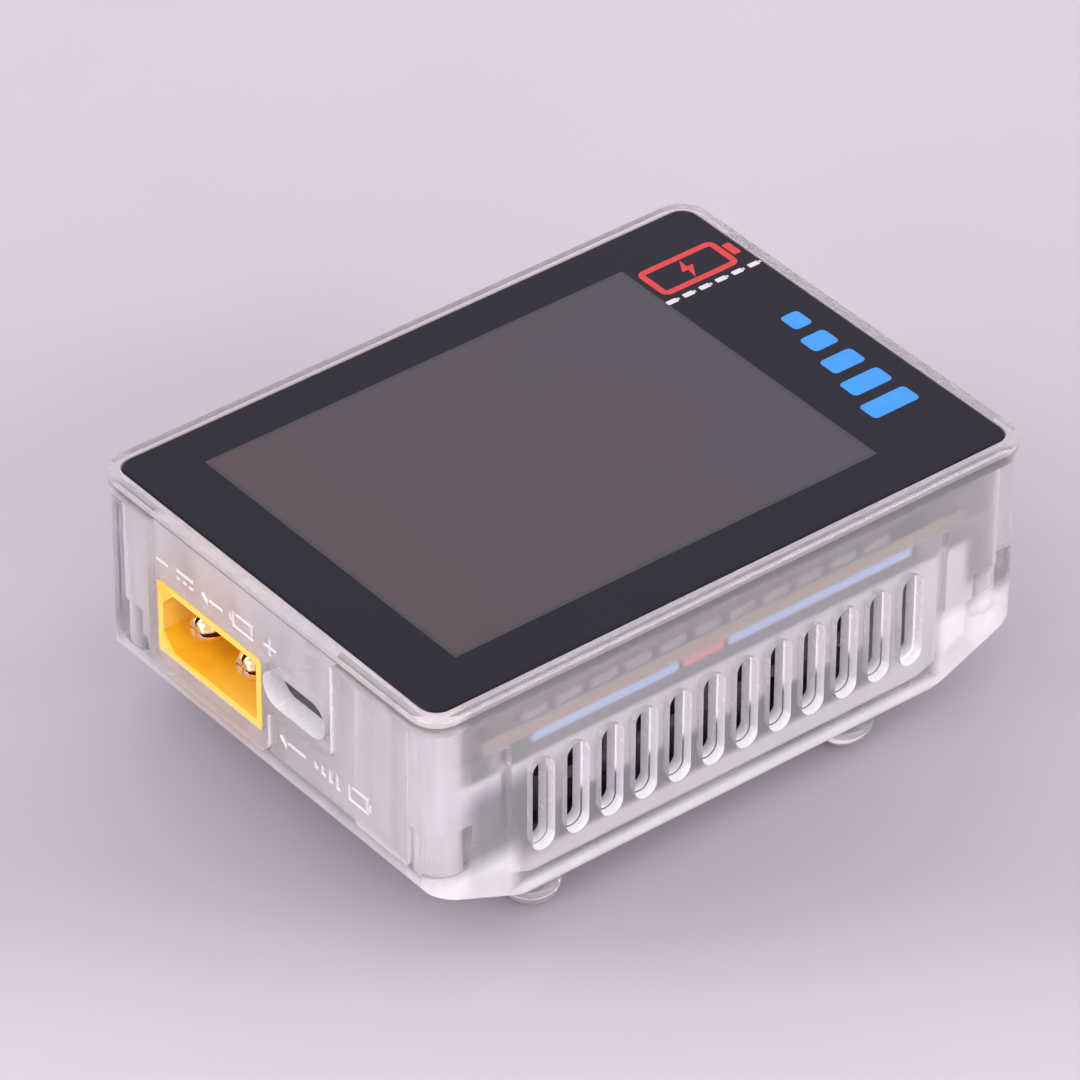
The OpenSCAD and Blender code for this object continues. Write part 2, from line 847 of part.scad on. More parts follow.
module fan_lead_red() {
    color([0.8, 0.08, 0.1]) wire(lead_points(-1), lead_wire_radius);
}

module fan_lead_black() {
    color([0.06, 0.06, 0.06]) wire(lead_points(1), lead_wire_radius);
}

module fan_plug() {
    color([0.93, 0.92, 0.88])
    box([plug_x - 1.3, plug_y - 2, 16.46], [plug_x + 1.3, plug_y + 2, 18.6]);
}

module fan_header() {
    color([0.95, 0.94, 0.9])
    difference() {
        box([plug_x - 1.9, plug_y - 2.6, 17.6], [plug_x + 1.9, plug_y + 2.6, board_z]);
        box([plug_x - 1.35, plug_y - 2.05, 17], [plug_x + 1.35, plug_y + 2.05, 18.6]);
    }
}

// ---------------------------------------------------------------------------- connectors

// Outline of the two-pole plug face: a rectangle with its +Y corners cut off
module plug_face(width, height, cut) {
    w = width / 2;
    h = height / 2;
    polygon([[-w, -h], [w - cut, -h], [w, -h + cut], [w, h - cut], [w - cut, h], [-w, h]]);
}

module input_connector_housing() {
    front = -case_length / 2;
    color([1, 0.72, 0.15])
    difference() {
        push_x(front, front + power_depth) power_window(input_y, 0);
        push_x(front - 1, front + cavity_depth)
            translate([input_y, power_z])
                plug_face(power_width - 2 * connector_rim, power_height - 2 * connector_rim, 1.7);
        for (s = [-1, 1])
            translate([0, input_y + s * contact_pitch / 2, power_z]) {
                translate([front + cavity_depth - 1, 0, 0])
                    rotate([0, 90, 0])
                        cylinder(h = power_depth - contact_tail - cavity_depth + 1,
                                 r = contact_radius + contact_shoulder);
                translate([-lead_x, 0, 0]) cylinder(h = power_height, r = lead_radius);
            }
    }
}

module input_contact_pins() {
    front = -case_length / 2 + contact_tip_recess;
    shoulder = -case_length / 2 + cavity_depth;
    back = -case_length / 2 + power_depth - contact_tail;
    color([0.9, 0.7, 0.3])
    for (s = [-1, 1])
        translate([0, input_y + s * contact_pitch / 2, power_z]) {
            difference() {
                union() {
                    translate([front + 0.7, 0, 0])
                        rotate([0, 90, 0])
                            cylinder(h = back - front - 0.7, r = contact_radius);
                    translate([shoulder, 0, 0])
                        rotate([0, 90, 0])
                            cylinder(h = back - shoulder,
                                     r = contact_radius + contact_shoulder);
                    translate([front + 0.7, 0, 0])
                        rotate([0, -90, 0])
                            cylinder(h = 0.7, r1 = contact_radius, r2 = contact_radius - 0.6);
                }
                for (a = [0, 90])
                    rotate([a, 0, 0])
                        translate([front, 0, 0]) cube([2 * contact_slit, 0.45, 6], center = true);
            }
            translate([-lead_x, 0, 0]) cylinder(h = board_top + 0.5 - power_z, r = lead_radius);
        }
}

module output_connector_housing() {
    front = case_length / 2;
    back = front - power_depth;
    color([1, 0.72, 0.15])
    difference() {
        union() {
            push_x(back, front - output_step) power_window(output_y, 0);
            push_x(front - output_step - 0.5, front)
                translate([output_y, power_z])
                    plug_face(power_width - 2 * connector_rim - 0.4,
                              power_height - 2 * connector_rim - 0.3, 1.6);
        }
        for (s = [-1, 1])
            translate([0, output_y + s * contact_pitch / 2, power_z]) {
                translate([back + contact_tail, 0, 0])
                    rotate([0, 90, 0]) cylinder(h = 50, r = contact_radius + socket_wall);
                translate([lead_x, 0, 0]) cylinder(h = power_height, r = lead_radius);
            }
    }
}

module output_contact_sockets() {
    front = case_length / 2 - 0.6;
    back = case_length / 2 - power_depth + contact_tail;
    color([0.9, 0.7, 0.3])
    for (s = [-1, 1])
        translate([0, output_y + s * contact_pitch / 2, power_z]) {
            difference() {
                translate([back, 0, 0])
                    rotate([0, 90, 0])
                        cylinder(h = front - back, r = contact_radius + socket_wall);
                translate([front - socket_depth, 0, 0])
                    rotate([0, 90, 0]) cylinder(h = socket_depth + 1, r = contact_radius);
            }
            translate([lead_x, 0, 0])
                difference() {
                    cylinder(h = board_top + 0.5 - power_z, r = lead_radius);
                    translate([0, 0, -1]) cylinder(h = 1.5, r = lead_radius + 0.5);
                }
        }
}

module balance_port_housing() {
    front = case_length / 2;
    back = front - balance_depth;
    middle_z = board_z - balance_height / 2;
    color([0.95, 0.94, 0.9])
    difference() {
        box([back, balance_y - balance_width / 2, board_z - balance_height],
            [front, balance_y + balance_width / 2, board_z]);
        box([front - 6.8, balance_y - balance_width / 2 + 0.8, middle_z - 2],
            [front + 1, balance_y + balance_width / 2 - 0.8, middle_z + 2]);
        // Two keying slots in the lower wall
        for (s = [-1, 1])
            translate([front, balance_y + s * 6.4, board_z - balance_height])
                cube([8, 1.4, 3], center = true);
        for (i = [0 : balance_pins - 1])
            translate([0, balance_pin_y(i), 0]) {
                translate([back + 1.68, -0.32, middle_z - 0.32]) cube([20, 0.64, 0.64]);
                translate([back + 1.68, -0.32, middle_z - 0.32]) cube([0.64, 0.64, 20]);
            }
    }
}

module balance_port_pins() {
    back = case_length / 2 - balance_depth;
    middle_z = board_z - balance_height / 2;
    color([0.82, 0.82, 0.84])
    for (i = [0 : balance_pins - 1])
        translate([0, balance_pin_y(i), 0]) {
            translate([back + 1.68, -0.32, middle_z - 0.32])
                cube([balance_depth - 1.68 - 2.2, 0.64, 0.64]);
            translate([back + 1.68, -0.32, middle_z - 0.32])
                cube([0.64, 0.64, board_top + 0.6 - middle_z]);
        }
}

// Stadium outline of the power delivery port, centred on Y and Z
module port_outline(width, height) {
    square([width - height, height], center = true);
    for (s = [-1, 1]) translate([s * (width - height) / 2, 0]) circle(d = height);
}

module type_c_shell() {
    front = -case_length / 2 + small_recess;
    color([0.7, 0.7, 0.73])
    difference() {
        push_x(front, front + small_port_depth)
            translate([small_port_y, small_port_z])
                port_outline(small_port_width, small_port_height);
        push_x(front - 1, front + small_port_depth - 0.3)
            translate([small_port_y, small_port_z])
                port_outline(small_port_width - 0.6, small_port_height - 0.6);
    }
}

module type_c_core() {
    front = -case_length / 2 + small_recess;
    back = front + small_port_depth - 0.3;
    color([0.07, 0.07, 0.08]) {
        push_x(back - 1.8, back)
            translate([small_port_y, small_port_z])
                port_outline(small_port_width - 0.6, small_port_height - 0.6);
        push_x(front + 0.9, back - 1)
            translate([small_port_y, small_port_z]) square([6.7, 0.7], center = true);
    }
}

// ---------------------------------------------------------------------------- screws, feet

module case_screws() {
    color([0.25, 0.25, 0.27])
    four_corners(post_x, post_y)
        difference() {
            union() {
                rod(head_seat - 0.1, screw_end - 0.8, screw_radius);
                translate([0, 0, screw_end - 0.8])
                    cylinder(h = 0.8, r1 = screw_radius, r2 = 0.3);
                rod(head_seat - 1.4, head_seat, head_radius);
            }
            translate([0, 0, head_seat - 1.4]) {
                cube([2.2, 0.45, 1.4], center = true);
                cube([0.45, 2.2, 1.4], center = true);
            }
        }
}

module feet() {
    dome_middle = (foot_radius * foot_radius + foot_height * foot_height
                   - foot_flat * foot_flat) / (2 * foot_height);
    dome_radius = sqrt(foot_flat * foot_flat + dome_middle * dome_middle);
    color([0.93, 0.93, 0.96, 0.5])
    for (x = foot_x, s = [-1, 1])
        translate([x, s * foot_y, 0])
            intersection() {
                translate([0, 0, dome_middle]) sphere(r = dome_radius);
                rod(0, foot_height, foot_radius + 1);
            }
}

upper_shell();
lower_shell();
cover_glass();
glass_gasket();
lcd_panel();
backlight_tray();
light_guide();
display_flex();
display_socket();
touch_flex();
touch_socket();
main_board();
microcontroller();
driver_chips();
power_transistors();
board_capacitors();
bulk_capacitors();
power_inductors();
sense_resistors();
red_fuse();
buzzer();
crystal();
heat_sink();
heat_sink_screws();
edge_thermal_pads();
centre_thermal_pad();
fan_frame();
fan_stator();
fan_bearing();
fan_label();
fan_impeller();
fan_magnet();
fan_shaft();
fan_screws();
fan_lead_red();
fan_lead_black();
fan_plug();
fan_header();
input_connector_housing();
input_contact_pins();
output_connector_housing();
output_contact_sockets();
balance_port_housing();
balance_port_pins();
type_c_shell();
type_c_core();
case_screws();
feet();
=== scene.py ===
"""Looks of the pocket balance charger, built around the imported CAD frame.

Lengths in this file are millimetres unless a name says otherwise; meshes are scaled to metres
when they become objects. +X is the output end, +Z is up, and z = 0 is the surface below the feet.
"""

import math

import bmesh
import bpy
from mathutils import Matrix, Vector


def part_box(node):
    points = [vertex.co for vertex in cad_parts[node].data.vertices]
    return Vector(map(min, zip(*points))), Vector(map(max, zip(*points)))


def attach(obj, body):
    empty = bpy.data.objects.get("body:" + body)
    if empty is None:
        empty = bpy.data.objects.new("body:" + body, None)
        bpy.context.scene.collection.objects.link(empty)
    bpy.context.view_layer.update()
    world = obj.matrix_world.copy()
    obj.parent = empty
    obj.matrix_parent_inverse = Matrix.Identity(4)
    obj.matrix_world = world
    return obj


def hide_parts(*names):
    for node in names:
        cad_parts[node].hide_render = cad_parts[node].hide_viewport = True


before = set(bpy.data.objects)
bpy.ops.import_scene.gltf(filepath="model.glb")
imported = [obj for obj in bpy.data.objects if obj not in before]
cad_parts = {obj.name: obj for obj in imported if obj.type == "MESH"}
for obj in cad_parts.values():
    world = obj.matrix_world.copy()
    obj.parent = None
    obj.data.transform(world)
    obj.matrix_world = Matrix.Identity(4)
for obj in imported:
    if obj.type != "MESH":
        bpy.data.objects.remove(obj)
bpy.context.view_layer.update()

MM = 0.001
ARC_STEPS = 8
BODY = "charger"
ROTOR = "fan_rotor"
# Cutting shapes reach this far, which is past every side of the case.
BEYOND = 40.0


def node_box(node):
    """Lowest and highest corner of a CAD node, in millimetres."""
    low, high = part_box(node)
    return low / MM, high / MM


# ---- sizes taken from the frame

RIM_HIGH = node_box("upper_shell")[1]
SHELL_LOW, SHELL_HIGH = node_box("lower_shell")
GLASS_LOW, GLASS_HIGH = node_box("cover_glass")
BOARD_LOW, BOARD_HIGH = node_box("main_board")
LCD_LOW, LCD_HIGH = node_box("lcd_panel")
IN_LOW, IN_HIGH = node_box("input_connector_housing")
OUT_LOW, OUT_HIGH = node_box("output_connector_housing")
BALANCE_LOW, BALANCE_HIGH = node_box("balance_port_housing")
PORT_LOW, PORT_HIGH = node_box("type_c_shell")
FAN_LOW, FAN_HIGH = node_box("fan_frame")
ROTOR_LOW, ROTOR_HIGH = node_box("fan_impeller")
FEET_LOW, FEET_HIGH = node_box("feet")

TOP = RIM_HIGH.z
PART_Z = SHELL_HIGH.z
FLOOR_Z = SHELL_LOW.z
HALF_X = RIM_HIGH.x
HALF_Y = RIM_HIGH.y
SHELL_X = SHELL_HIGH.x
SHELL_Y = SHELL_HIGH.y
WALL = 2.2
FLOOR_THICK = FAN_LOW.z - FLOOR_Z
INSIDE_X = SHELL_X - WALL
INSIDE_Y = SHELL_Y - WALL
RIM_CORNER = 3.2
SHELL_CORNER = RIM_CORNER - (HALF_X - SHELL_X)
BEVEL_HEIGHT = 5.2
BEVEL_LENGTH = 12.2
BEVEL_ANGLE = math.atan2(BEVEL_HEIGHT, BEVEL_LENGTH)
BOTTOM_ROUND = 1.2
SHELL_GAP = 0.2
PARTING_GAP = 0.08
LEDGE_BOTTOM = 25.0
LEDGE_TOP = node_box("glass_gasket")[0].z
LIP_HEIGHT = 2.0
LIP_THICKNESS = 1.0
POST_X = 31.6
POST_Y = 21.6
POST_RADIUS = 2.2
POST_SPLIT = 13.6
HEAD_SEAT = 8.6
SCREW_RADIUS = 0.95
SCREW_END = 18.6
HEAD_RADIUS = 1.9
RIB_X = 26.0
POWER_Z = (IN_LOW.z + IN_HIGH.z) / 2
INPUT_Y = (IN_LOW.y + IN_HIGH.y) / 2
OUTPUT_Y = (OUT_LOW.y + OUT_HIGH.y) / 2
POWER_WIDTH = IN_HIGH.y - IN_LOW.y
POWER_HEIGHT = IN_HIGH.z - IN_LOW.z
BALANCE_Y = (BALANCE_LOW.y + BALANCE_HIGH.y) / 2
PORT_Y = (PORT_LOW.y + PORT_HIGH.y) / 2
PORT_Z = (PORT_LOW.z + PORT_HIGH.z) / 2
PORT_WINDOW = (9.4, 4.0)
PORT_WINDOW_Z = BOARD_LOW.z - 0.05 - PORT_WINDOW[1] / 2
FAN_X = (FAN_LOW.x + FAN_HIGH.x) / 2
FAN_Y = (FAN_LOW.y + FAN_HIGH.y) / 2
CONTACT_PITCH = 7.2
CONTACT_RADIUS = 1.75

VENT_COUNT = 12
VENT_PITCH = 4.0
VENT_WIDTH = 2.6
VENT_HEIGHT = 10.4
VENT_MIDDLE_X = -0.5
VENT_MIDDLE_Z = 12.9

GRILLE_RINGS = (5.2, 8.6, 12.0, 15.4)
GRILLE_SLOT = 2.0
SPOKES = 6
SPOKE_HALF_WIDTH = 0.8
FAN_SCREW_REACH = 16
FOOT_RADIUS = 2.9
PANEL_PLAY = 0.12
SKIN = 0.7


# ---- outlines


def corner_arc(before, corner, after, radius, steps):
    """Points of the arc that rounds one corner of an outline."""
    corner = Vector(corner)
    u = (Vector(before) - corner).normalized()
    v = (Vector(after) - corner).normalized()
    half = math.acos(max(-1.0, min(1.0, u.dot(v)))) / 2
    centre = corner + (u + v).normalized() * radius / math.sin(half)
    first = corner + u * radius / math.tan(half) - centre
    last = corner + v * radius / math.tan(half) - centre
    start = math.atan2(first.y, first.x)
    sweep = math.atan2(last.y, last.x) - start
    sweep = (sweep + math.pi) % (2 * math.pi) - math.pi
    angles = [start + sweep * i / steps for i in range(steps + 1)]
    return [centre + radius * Vector((math.cos(a), math.sin(a))) for a in angles]


def rounded(points, radii, steps=ARC_STEPS):
    """An outline with its corners rounded. radii is one number, or one for each corner."""
    if not hasattr(radii, "__len__"):
        radii = [radii] * len(points)
    made = []
    for i, (point, radius) in enumerate(zip(points, radii)):
        if radius <= 0:
            made.append(Vector(point))
        else:
            made += corner_arc(points[i - 1], point, points[(i + 1) % len(points)], radius, steps)
    return made


def rect(width, height, radius=0.0, centre=(0.0, 0.0), steps=ARC_STEPS):
    a, b = width / 2, height / 2
    x, y = centre
    points = [(x - a, y - b), (x + a, y - b), (x + a, y + b), (x - a, y + b)]
    return rounded(points, radius, steps)


def at_height(outline, z):
    return [(p.x, p.y, z) for p in outline]


def stadium(width, height, centre=(0.0, 0.0), steps=ARC_STEPS):
    return rect(width, height, min(width, height) / 2 - 0.001, centre, steps)


def circle(radius, centre=(0.0, 0.0), steps=48):
    return [
        Vector((centre[0] + radius * math.cos(2 * math.pi * i / steps),
                centre[1] + radius * math.sin(2 * math.pi * i / steps)))
        for i in range(steps)
    ]


def ring_sector(inner, outer, start, end, centre=(0.0, 0.0), steps=12):
    """Outline of a piece of a flat ring between two angles in radians."""
    angles = [start + (end - start) * i / steps for i in range(steps + 1)]
    points = [(outer, a) for a in angles] + [(inner, a) for a in reversed(angles)]
    return [Vector((centre[0] + r * math.cos(a), centre[1] + r * math.sin(a))) for r, a in points]


def side_outline(inset, floor_inset, top):
    """The lower shell seen from its long side, with its walls and floor moved inwards."""
    x = SHELL_X - inset
    slant = floor_inset / math.cos(BEVEL_ANGLE)
    wall_z = FLOOR_Z + BEVEL_HEIGHT - inset * math.tan(BEVEL_ANGLE) + slant
    flat_x = SHELL_X - BEVEL_LENGTH - (slant - floor_inset) / math.tan(BEVEL_ANGLE)
    floor = FLOOR_Z + floor_inset
    points = [(-x, top), (-x, wall_z), (-flat_x, floor), (flat_x, floor), (x, wall_z), (x, top)]
    return rounded(points, [0, 1.5, 4, 4, 1.5, 0])


def end_outline(inset, floor_inset, top):
    """The lower shell seen from its end, with its walls and floor moved inwards."""
    y = SHELL_Y - inset
    curve = max(BOTTOM_ROUND - inset, 0.5)
    floor = FLOOR_Z + floor_inset
    return rounded([(-y, top), (-y, floor), (y, floor), (y, top)], [0, curve, curve, 0])


def panel_outline(low_y, step_y, high_y, low_z, step_z, grow):
    """The panel that reaches down from the rim around the connectors of one end."""
    top = PART_Z + 0.4
    low_y, step_y, step_z, low_z = (v - grow for v in (low_y, step_y, step_z, low_z))
    high_y += grow
    points = [(low_y, top), (low_y, step_z), (step_y, step_z), (step_y, low_z), (high_y, low_z),
              (high_y, top)]
    return rounded(points, [0, 1.5, 0.8, 1.5, 1.5, 0])


def input_panel(grow):
    return panel_outline(-10.6, -1.0, 17.3, 9.9, 15.1, grow)


def output_panel(grow):
    return panel_outline(-20.2, 0.9, 18.9, 9.9, 13.4, grow)


def plug_outline(width, height, cut, centre):
    """Face of a two-pole plug: a rectangle with its +Y corners cut off."""
    w, h = width / 2, height / 2
    y, z = centre
    points = [(-w, -h), (w - cut, -h), (w, -h + cut), (w, h - cut), (w - cut, h), (-w, h)]
    return rounded([(y + a, z + b) for a, b in points], 0.25, 3)


# ---- solids

AXES = {
    "X": lambda a, b, h: (h, a, b),
    "Y": lambda a, b, h: (a, h, b),
    "Z": lambda a, b, h: (a, b, h),
}


def prism(outline, low, high, axis="Z", shape=None):
    """A closed prism. Its outline is drawn in the two axes other than its own."""
    shape = shape or bmesh.new()
    place = AXES[axis]
    bottom = [shape.verts.new(place(p[0], p[1], low)) for p in outline]
    top = [shape.verts.new(place(p[0], p[1], high)) for p in outline]
    faces = [shape.faces.new(bottom), shape.faces.new(top)]
    count = len(outline)
    for i in range(count):
        j = (i + 1) % count
        faces.append(shape.faces.new((bottom[i], bottom[j], top[j], top[i])))
    bmesh.ops.recalc_face_normals(shape, faces=faces)
    return shape


def block(low, high, shape):
    """A rectangular block between two corners."""
    outline = [(low[0], low[1]), (high[0], low[1]), (high[0], high[1]), (low[0], high[1])]
    prism(outline, low[2], high[2], "Z", shape)


def stack(loops, shape=None, closed=True):
    """A closed solid through loops of points that all have the same number of points."""
    shape = shape or bmesh.new()
    rings = [[shape.verts.new(p) for p in loop] for loop in loops]
    faces = []
    for a, b in zip(rings, rings[1:]):
        for i in range(len(a)):
            j = (i + 1) % len(a)
            faces.append(shape.faces.new((a[i], a[j], b[j], b[i])))
    if closed:
        faces += [shape.faces.new(rings[0]), shape.faces.new(rings[-1])]
    bmesh.ops.recalc_face_normals(shape, faces=faces)
    return shape


def lathe(profile, axis="Z", centre=(0.0, 0.0), steps=48, shape=None):
    """A closed solid turned from (radius, height) points, round a line along the axis."""
    place = AXES[axis]
    loops = [
        [place(x, y, height) for x, y in circle(max(radius, 0.005), centre, steps)]
        for radius, height in profile
    ]
    return stack(loops, shape)


def tube(points, radius, steps=12):
    """A round wire along a list of points."""
    points = [Vector(p) for p in points]
    loops = []
    side = Vector((0, 0, 1))
    for i, point in enumerate(points):
        along = (points[min(i + 1, len(points) - 1)] - points[max(i - 1, 0)]).normalized()
        side = (side - side.dot(along) * along).normalized()
        other = along.cross(side)
        angles = [2 * math.pi * k / steps for k in range(steps)]
        loops.append([point + radius * (side * math.cos(a) + other * math.sin(a)) for a in angles])
    return stack(loops)


def smooth_route(route, per_leg=6):
    """Points of the smooth curve through a route of given points."""
    route = [Vector(p) for p in route]
    made = []
    for i in range(len(route) - 1):
        p0, p1, p2 = route[max(i - 1, 0)], route[i], route[i + 1]
        p3 = route[min(i + 2, len(route) - 1)]
        for k in range(per_leg):
            f = k / per_leg
            made.append((2 * p1 + (p2 - p0) * f + (2 * p0 - 5 * p1 + 4 * p2 - p3) * f**2
                         + (3 * p1 - p0 - 3 * p2 + p3) * f**3) / 2)
    return made + [route[-1]]


# ---- objects


def as_object(name, shape):
    mesh = bpy.data.meshes.new(name)
    bmesh.ops.scale(shape, vec=(MM, MM, MM), verts=shape.verts)
    shape.to_mesh(mesh)
    shape.free()
    made = bpy.data.objects.new(name, mesh)
    bpy.context.scene.collection.objects.link(made)
    return made


def apply_modifiers(target):
    graph = bpy.context.evaluated_depsgraph_get()
    mesh = bpy.data.meshes.new_from_object(target.evaluated_get(graph))
    target.modifiers.clear()
    target.data = mesh


def combine(target, shape, operation):
    """Cuts a shape out of an object, or adds or intersects it."""
    tool = as_object("tool", shape)
    modifier = target.modifiers.new("combine", "BOOLEAN")
    modifier.operation = operation
    modifier.solver = "EXACT"
    modifier.use_self = True
    modifier.object = tool
    apply_modifiers(target)
    bpy.data.objects.remove(tool)


def cut(target, shape):
    combine(target, shape, "DIFFERENCE")


def soften(target, width, segments=2, angle=32.0, apply=False):
    """Rounds the sharp edges and shades the rest smooth."""
    weld = target.modifiers.new("weld", "WELD")
    weld.merge_threshold = 0.002 * MM
    flatten = target.modifiers.new("flatten", "DECIMATE")
    flatten.decimate_type = "DISSOLVE"
    flatten.angle_limit = math.radians(0.5)
    bevel = target.modifiers.new("bevel", "BEVEL")
    bevel.width = width * MM
    bevel.segments = segments
    bevel.limit_method = "ANGLE"
    bevel.angle_limit = math.radians(angle)
    bevel.use_clamp_overlap = True
    if apply:
        apply_modifiers(target)
    for polygon in target.data.polygons:
        polygon.use_smooth = True
    corners = target.modifiers.new("corners", "WEIGHTED_NORMAL")
    corners.keep_sharp = True
    return target


def set_materials(target, *names):
    target.data.materials.clear()
    for name in names:
        target.data.materials.append(MATERIALS[name])


def piece(target, material, replaces=(), body=BODY):
    """Finishes a built piece: its material, its body and the CAD nodes that it stands for."""
    if material is not None:
        set_materials(target, material)
    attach(target, body)
    if replaces:
        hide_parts(*replaces)


def dress(cad_node, material):
    """Gives a CAD node its material, with rounded edges."""
    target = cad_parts[cad_node]
    set_materials(target, material)
    soften(target, 0.08)


# ---- materials


MATERIALS = {}


def fill(tree, target, **inputs):
    """Sets or links inputs of a node. An underscore in a name stands for a space."""
    for name, value in inputs.items():
        socket = target.inputs[name.replace("_", " ")]
        if isinstance(value, bpy.types.NodeSocket):
            tree.links.new(value, socket)
        else:
            socket.default_value = value


def node(tree, kind, **values):
    """A new node. Names in small letters are its settings, and the others its inputs."""
    made = tree.nodes.new(f"ShaderNode{kind}")
    for name in [n for n in values if n.islower()]:
        setattr(made, name, values.pop(name))
    fill(tree, made, **values)
    return made


def mapped(tree, value, low, high, from_low=0.3, from_high=0.7):
    """A value carried from one range to another. The usual first range suits a noise."""
    ranger = node(tree, "MapRange", From_Min=from_low, From_Max=from_high,
                  To_Min=low, To_Max=high, Value=value)
    return ranger.outputs["Result"]


def mixed(tree, factor, first, second, blend="MIX"):
    """Two colours mixed by a factor. A colour is a tuple or another node's output."""
    first, second = [(*c, 1.0) if isinstance(c, tuple) else c for c in (first, second)]
    mixer = node(tree, "Mix", data_type="RGBA", blend_type=blend, Factor=factor,
                 A=first, B=second)
    return mixer.outputs["Result"]


def coordinates(tree, stretch=(1.0, 1.0, 1.0)):
    """Object coordinates in millimetres, squeezed along chosen axes."""
    place = node(tree, "TexCoord").outputs["Object"]
    scale = [s / MM for s in stretch]
    return node(tree, "Mapping", Scale=scale, Vector=place).outputs["Vector"]


def parts(tree, vector):
    """The X, Y and Z outputs of a vector."""
    return node(tree, "SeparateXYZ", Vector=vector).outputs


def placed(tree):
    """Object coordinates in millimetres, and their X and Z outputs."""
    vector = coordinates(tree)
    split = parts(tree, vector)
    return vector, split["X"], split["Z"]


def noise(tree, vector, scale, detail=3.0):
    """A noise whose scale is in features per millimetre."""
    made = node(tree, "TexNoise", Scale=scale, Detail=detail, Roughness=0.55,
                Vector=vector)
    return made.outputs["Fac"]


def bumped(tree, height, depth):
    """A bump whose depth is in millimetres."""
    bump = node(tree, "Bump", Strength=1.0, Distance=depth * MM, Height=height)
    return bump.outputs["Normal"]


def calculated(tree, operation, first, second):
    made = node(tree, "Math", operation=operation)
    tree.links.new(first, made.inputs[0])
    tree.links.new(second, made.inputs[1])
    return made.outputs[0]


def product(tree, first, second):
    return calculated(tree, "MULTIPLY", first, second)


def either(tree, first, second):
    """The larger of two values."""
    return calculated(tree, "MAXIMUM", first, second)


def band(tree, value, start, end, soft):
    """1 between two values, and 0 outside them, with soft ends."""
    rise = mapped(tree, value, 0.0, 1.0, start - soft, start + soft)
    fall = mapped(tree, value, 1.0, 0.0, end - soft, end + soft)
    return product(tree, rise, fall)


def blank(name):
    """Adds a material to MATERIALS, and gives its tree and its shader."""
    made = bpy.data.materials.new(name)
    made.use_nodes = True
    MATERIALS[name] = made
    return made.node_tree, made.node_tree.nodes["Principled BSDF"]


def surface(name, colour, roughness, variation, grain, bump, bump_grain, wear=None,
            stretch=(1.0, 1.0, 1.0), **sockets):
    """A material with mottled colour, uneven gloss, fine bump and lighter worn edges."""
    tree, shader = blank(name)
    vector = coordinates(tree, stretch)
    mottle = noise(tree, vector, grain)
    darker = tuple(c * (1 - variation) for c in colour)
    lighter = tuple(min(c * (1 + variation), 1.0) for c in colour)
    shade = mixed(tree, mapped(tree, mottle, 0.0, 1.0), darker, lighter)
    if wear is not None:
        convex = node(tree, "NewGeometry").outputs["Pointiness"]
        shade = mixed(tree, mapped(tree, convex, 0.0, 1.0, 0.52, 0.6), shade, wear)
    fine = noise(tree, vector, bump_grain, 4.0)
    gloss = mapped(tree, fine, roughness * 0.8, roughness * 1.25)
    fill(tree, shader, Base_Color=shade, Roughness=gloss, Normal=bumped(tree, fine, bump),
         **sockets)
    return tree, shader


# Each line: name, colour, roughness, variation, grain, bump, bump grain, colour of worn edges.
surface("clear_slot", (0.985, 0.965, 0.985), 0.24, 0.015, 0.5, 0.0008, 0.8, Transmission_Weight=0.15,
        IOR=1.5)
surface("clear_rubber", (0.97, 0.94, 0.96), 0.09, 0.03, 0.6, 0.004, 2.0, Transmission_Weight=0.8,
        IOR=1.43)
surface("black_print", (0.003, 0.0015, 0.009), 0.05, 0.15, 0.15, 0.0005, 0.4, IOR=1.32)
surface("screen_edge", (0.03, 0.027, 0.036), 0.06, 0.1, 0.3, 0.0005, 0.4, IOR=1.5)
surface("red_print", (0.56, 0.022, 0.022), 0.12, 0.06, 1.0, 0.0005, 1.0)
surface("white_print", (0.6, 0.57, 0.6), 0.12, 0.05, 1.0, 0.0005, 1.0)
surface("blue_print", (0.02, 0.25, 0.68), 0.12, 0.06, 1.0, 0.0005, 1.0)
surface("yellow_nylon", (0.96, 0.5, 0.02), 0.32, 0.06, 0.8, 0.004, 5.0, (1.0, 0.62, 0.1),
        Subsurface_Weight=0.12, Subsurface_Radius=(0.003, 0.0012, 0.0002))
surface("gold", (0.93, 0.62, 0.27), 0.14, 0.1, 1.2, 0.003, 3.0, (1.0, 0.82, 0.5), Metallic=1.0)
surface("tin", (0.7, 0.7, 0.72), 0.26, 0.1, 1.2, 0.003, 5.0, (0.9, 0.9, 0.92), Metallic=1.0)
surface("steel", (0.5, 0.5, 0.52), 0.24, 0.14, 1.0, 0.003, 5.0, (0.85, 0.85, 0.87), Metallic=1.0)
surface("port_steel", (0.03, 0.029, 0.03), 0.42, 0.15, 1.0, 0.003, 5.0, (0.3, 0.3, 0.31), Metallic=0.8)
surface("black_steel", (0.1, 0.1, 0.105), 0.3, 0.18, 1.0, 0.003, 5.0, (0.4, 0.4, 0.42), Metallic=1.0)
surface("anodised", (0.014, 0.014, 0.016), 0.36, 0.25, 1.0, 0.006, 9.0, (0.12, 0.12, 0.125),
        (6.0, 0.3, 0.3), Metallic=0.4)
surface("fan_plastic", (0.012, 0.012, 0.014), 0.4, 0.25, 0.7, 0.012, 4.0, (0.05, 0.05, 0.055))
surface("fan_label", (0.55, 0.55, 0.58), 0.3, 0.08, 0.5, 0.002, 3.0, Metallic=0.6)
surface("thermal_blue", (0.4, 0.66, 1.0), 0.6, 0.08, 1.2, 0.02, 3.0)
surface("chip_black", (0.018, 0.018, 0.02), 0.5, 0.2, 1.5, 0.01, 9.0, (0.07, 0.07, 0.075))
surface("ferrite", (0.09, 0.09, 0.1), 0.55, 0.2, 1.2, 0.02, 7.0, (0.2, 0.2, 0.21))
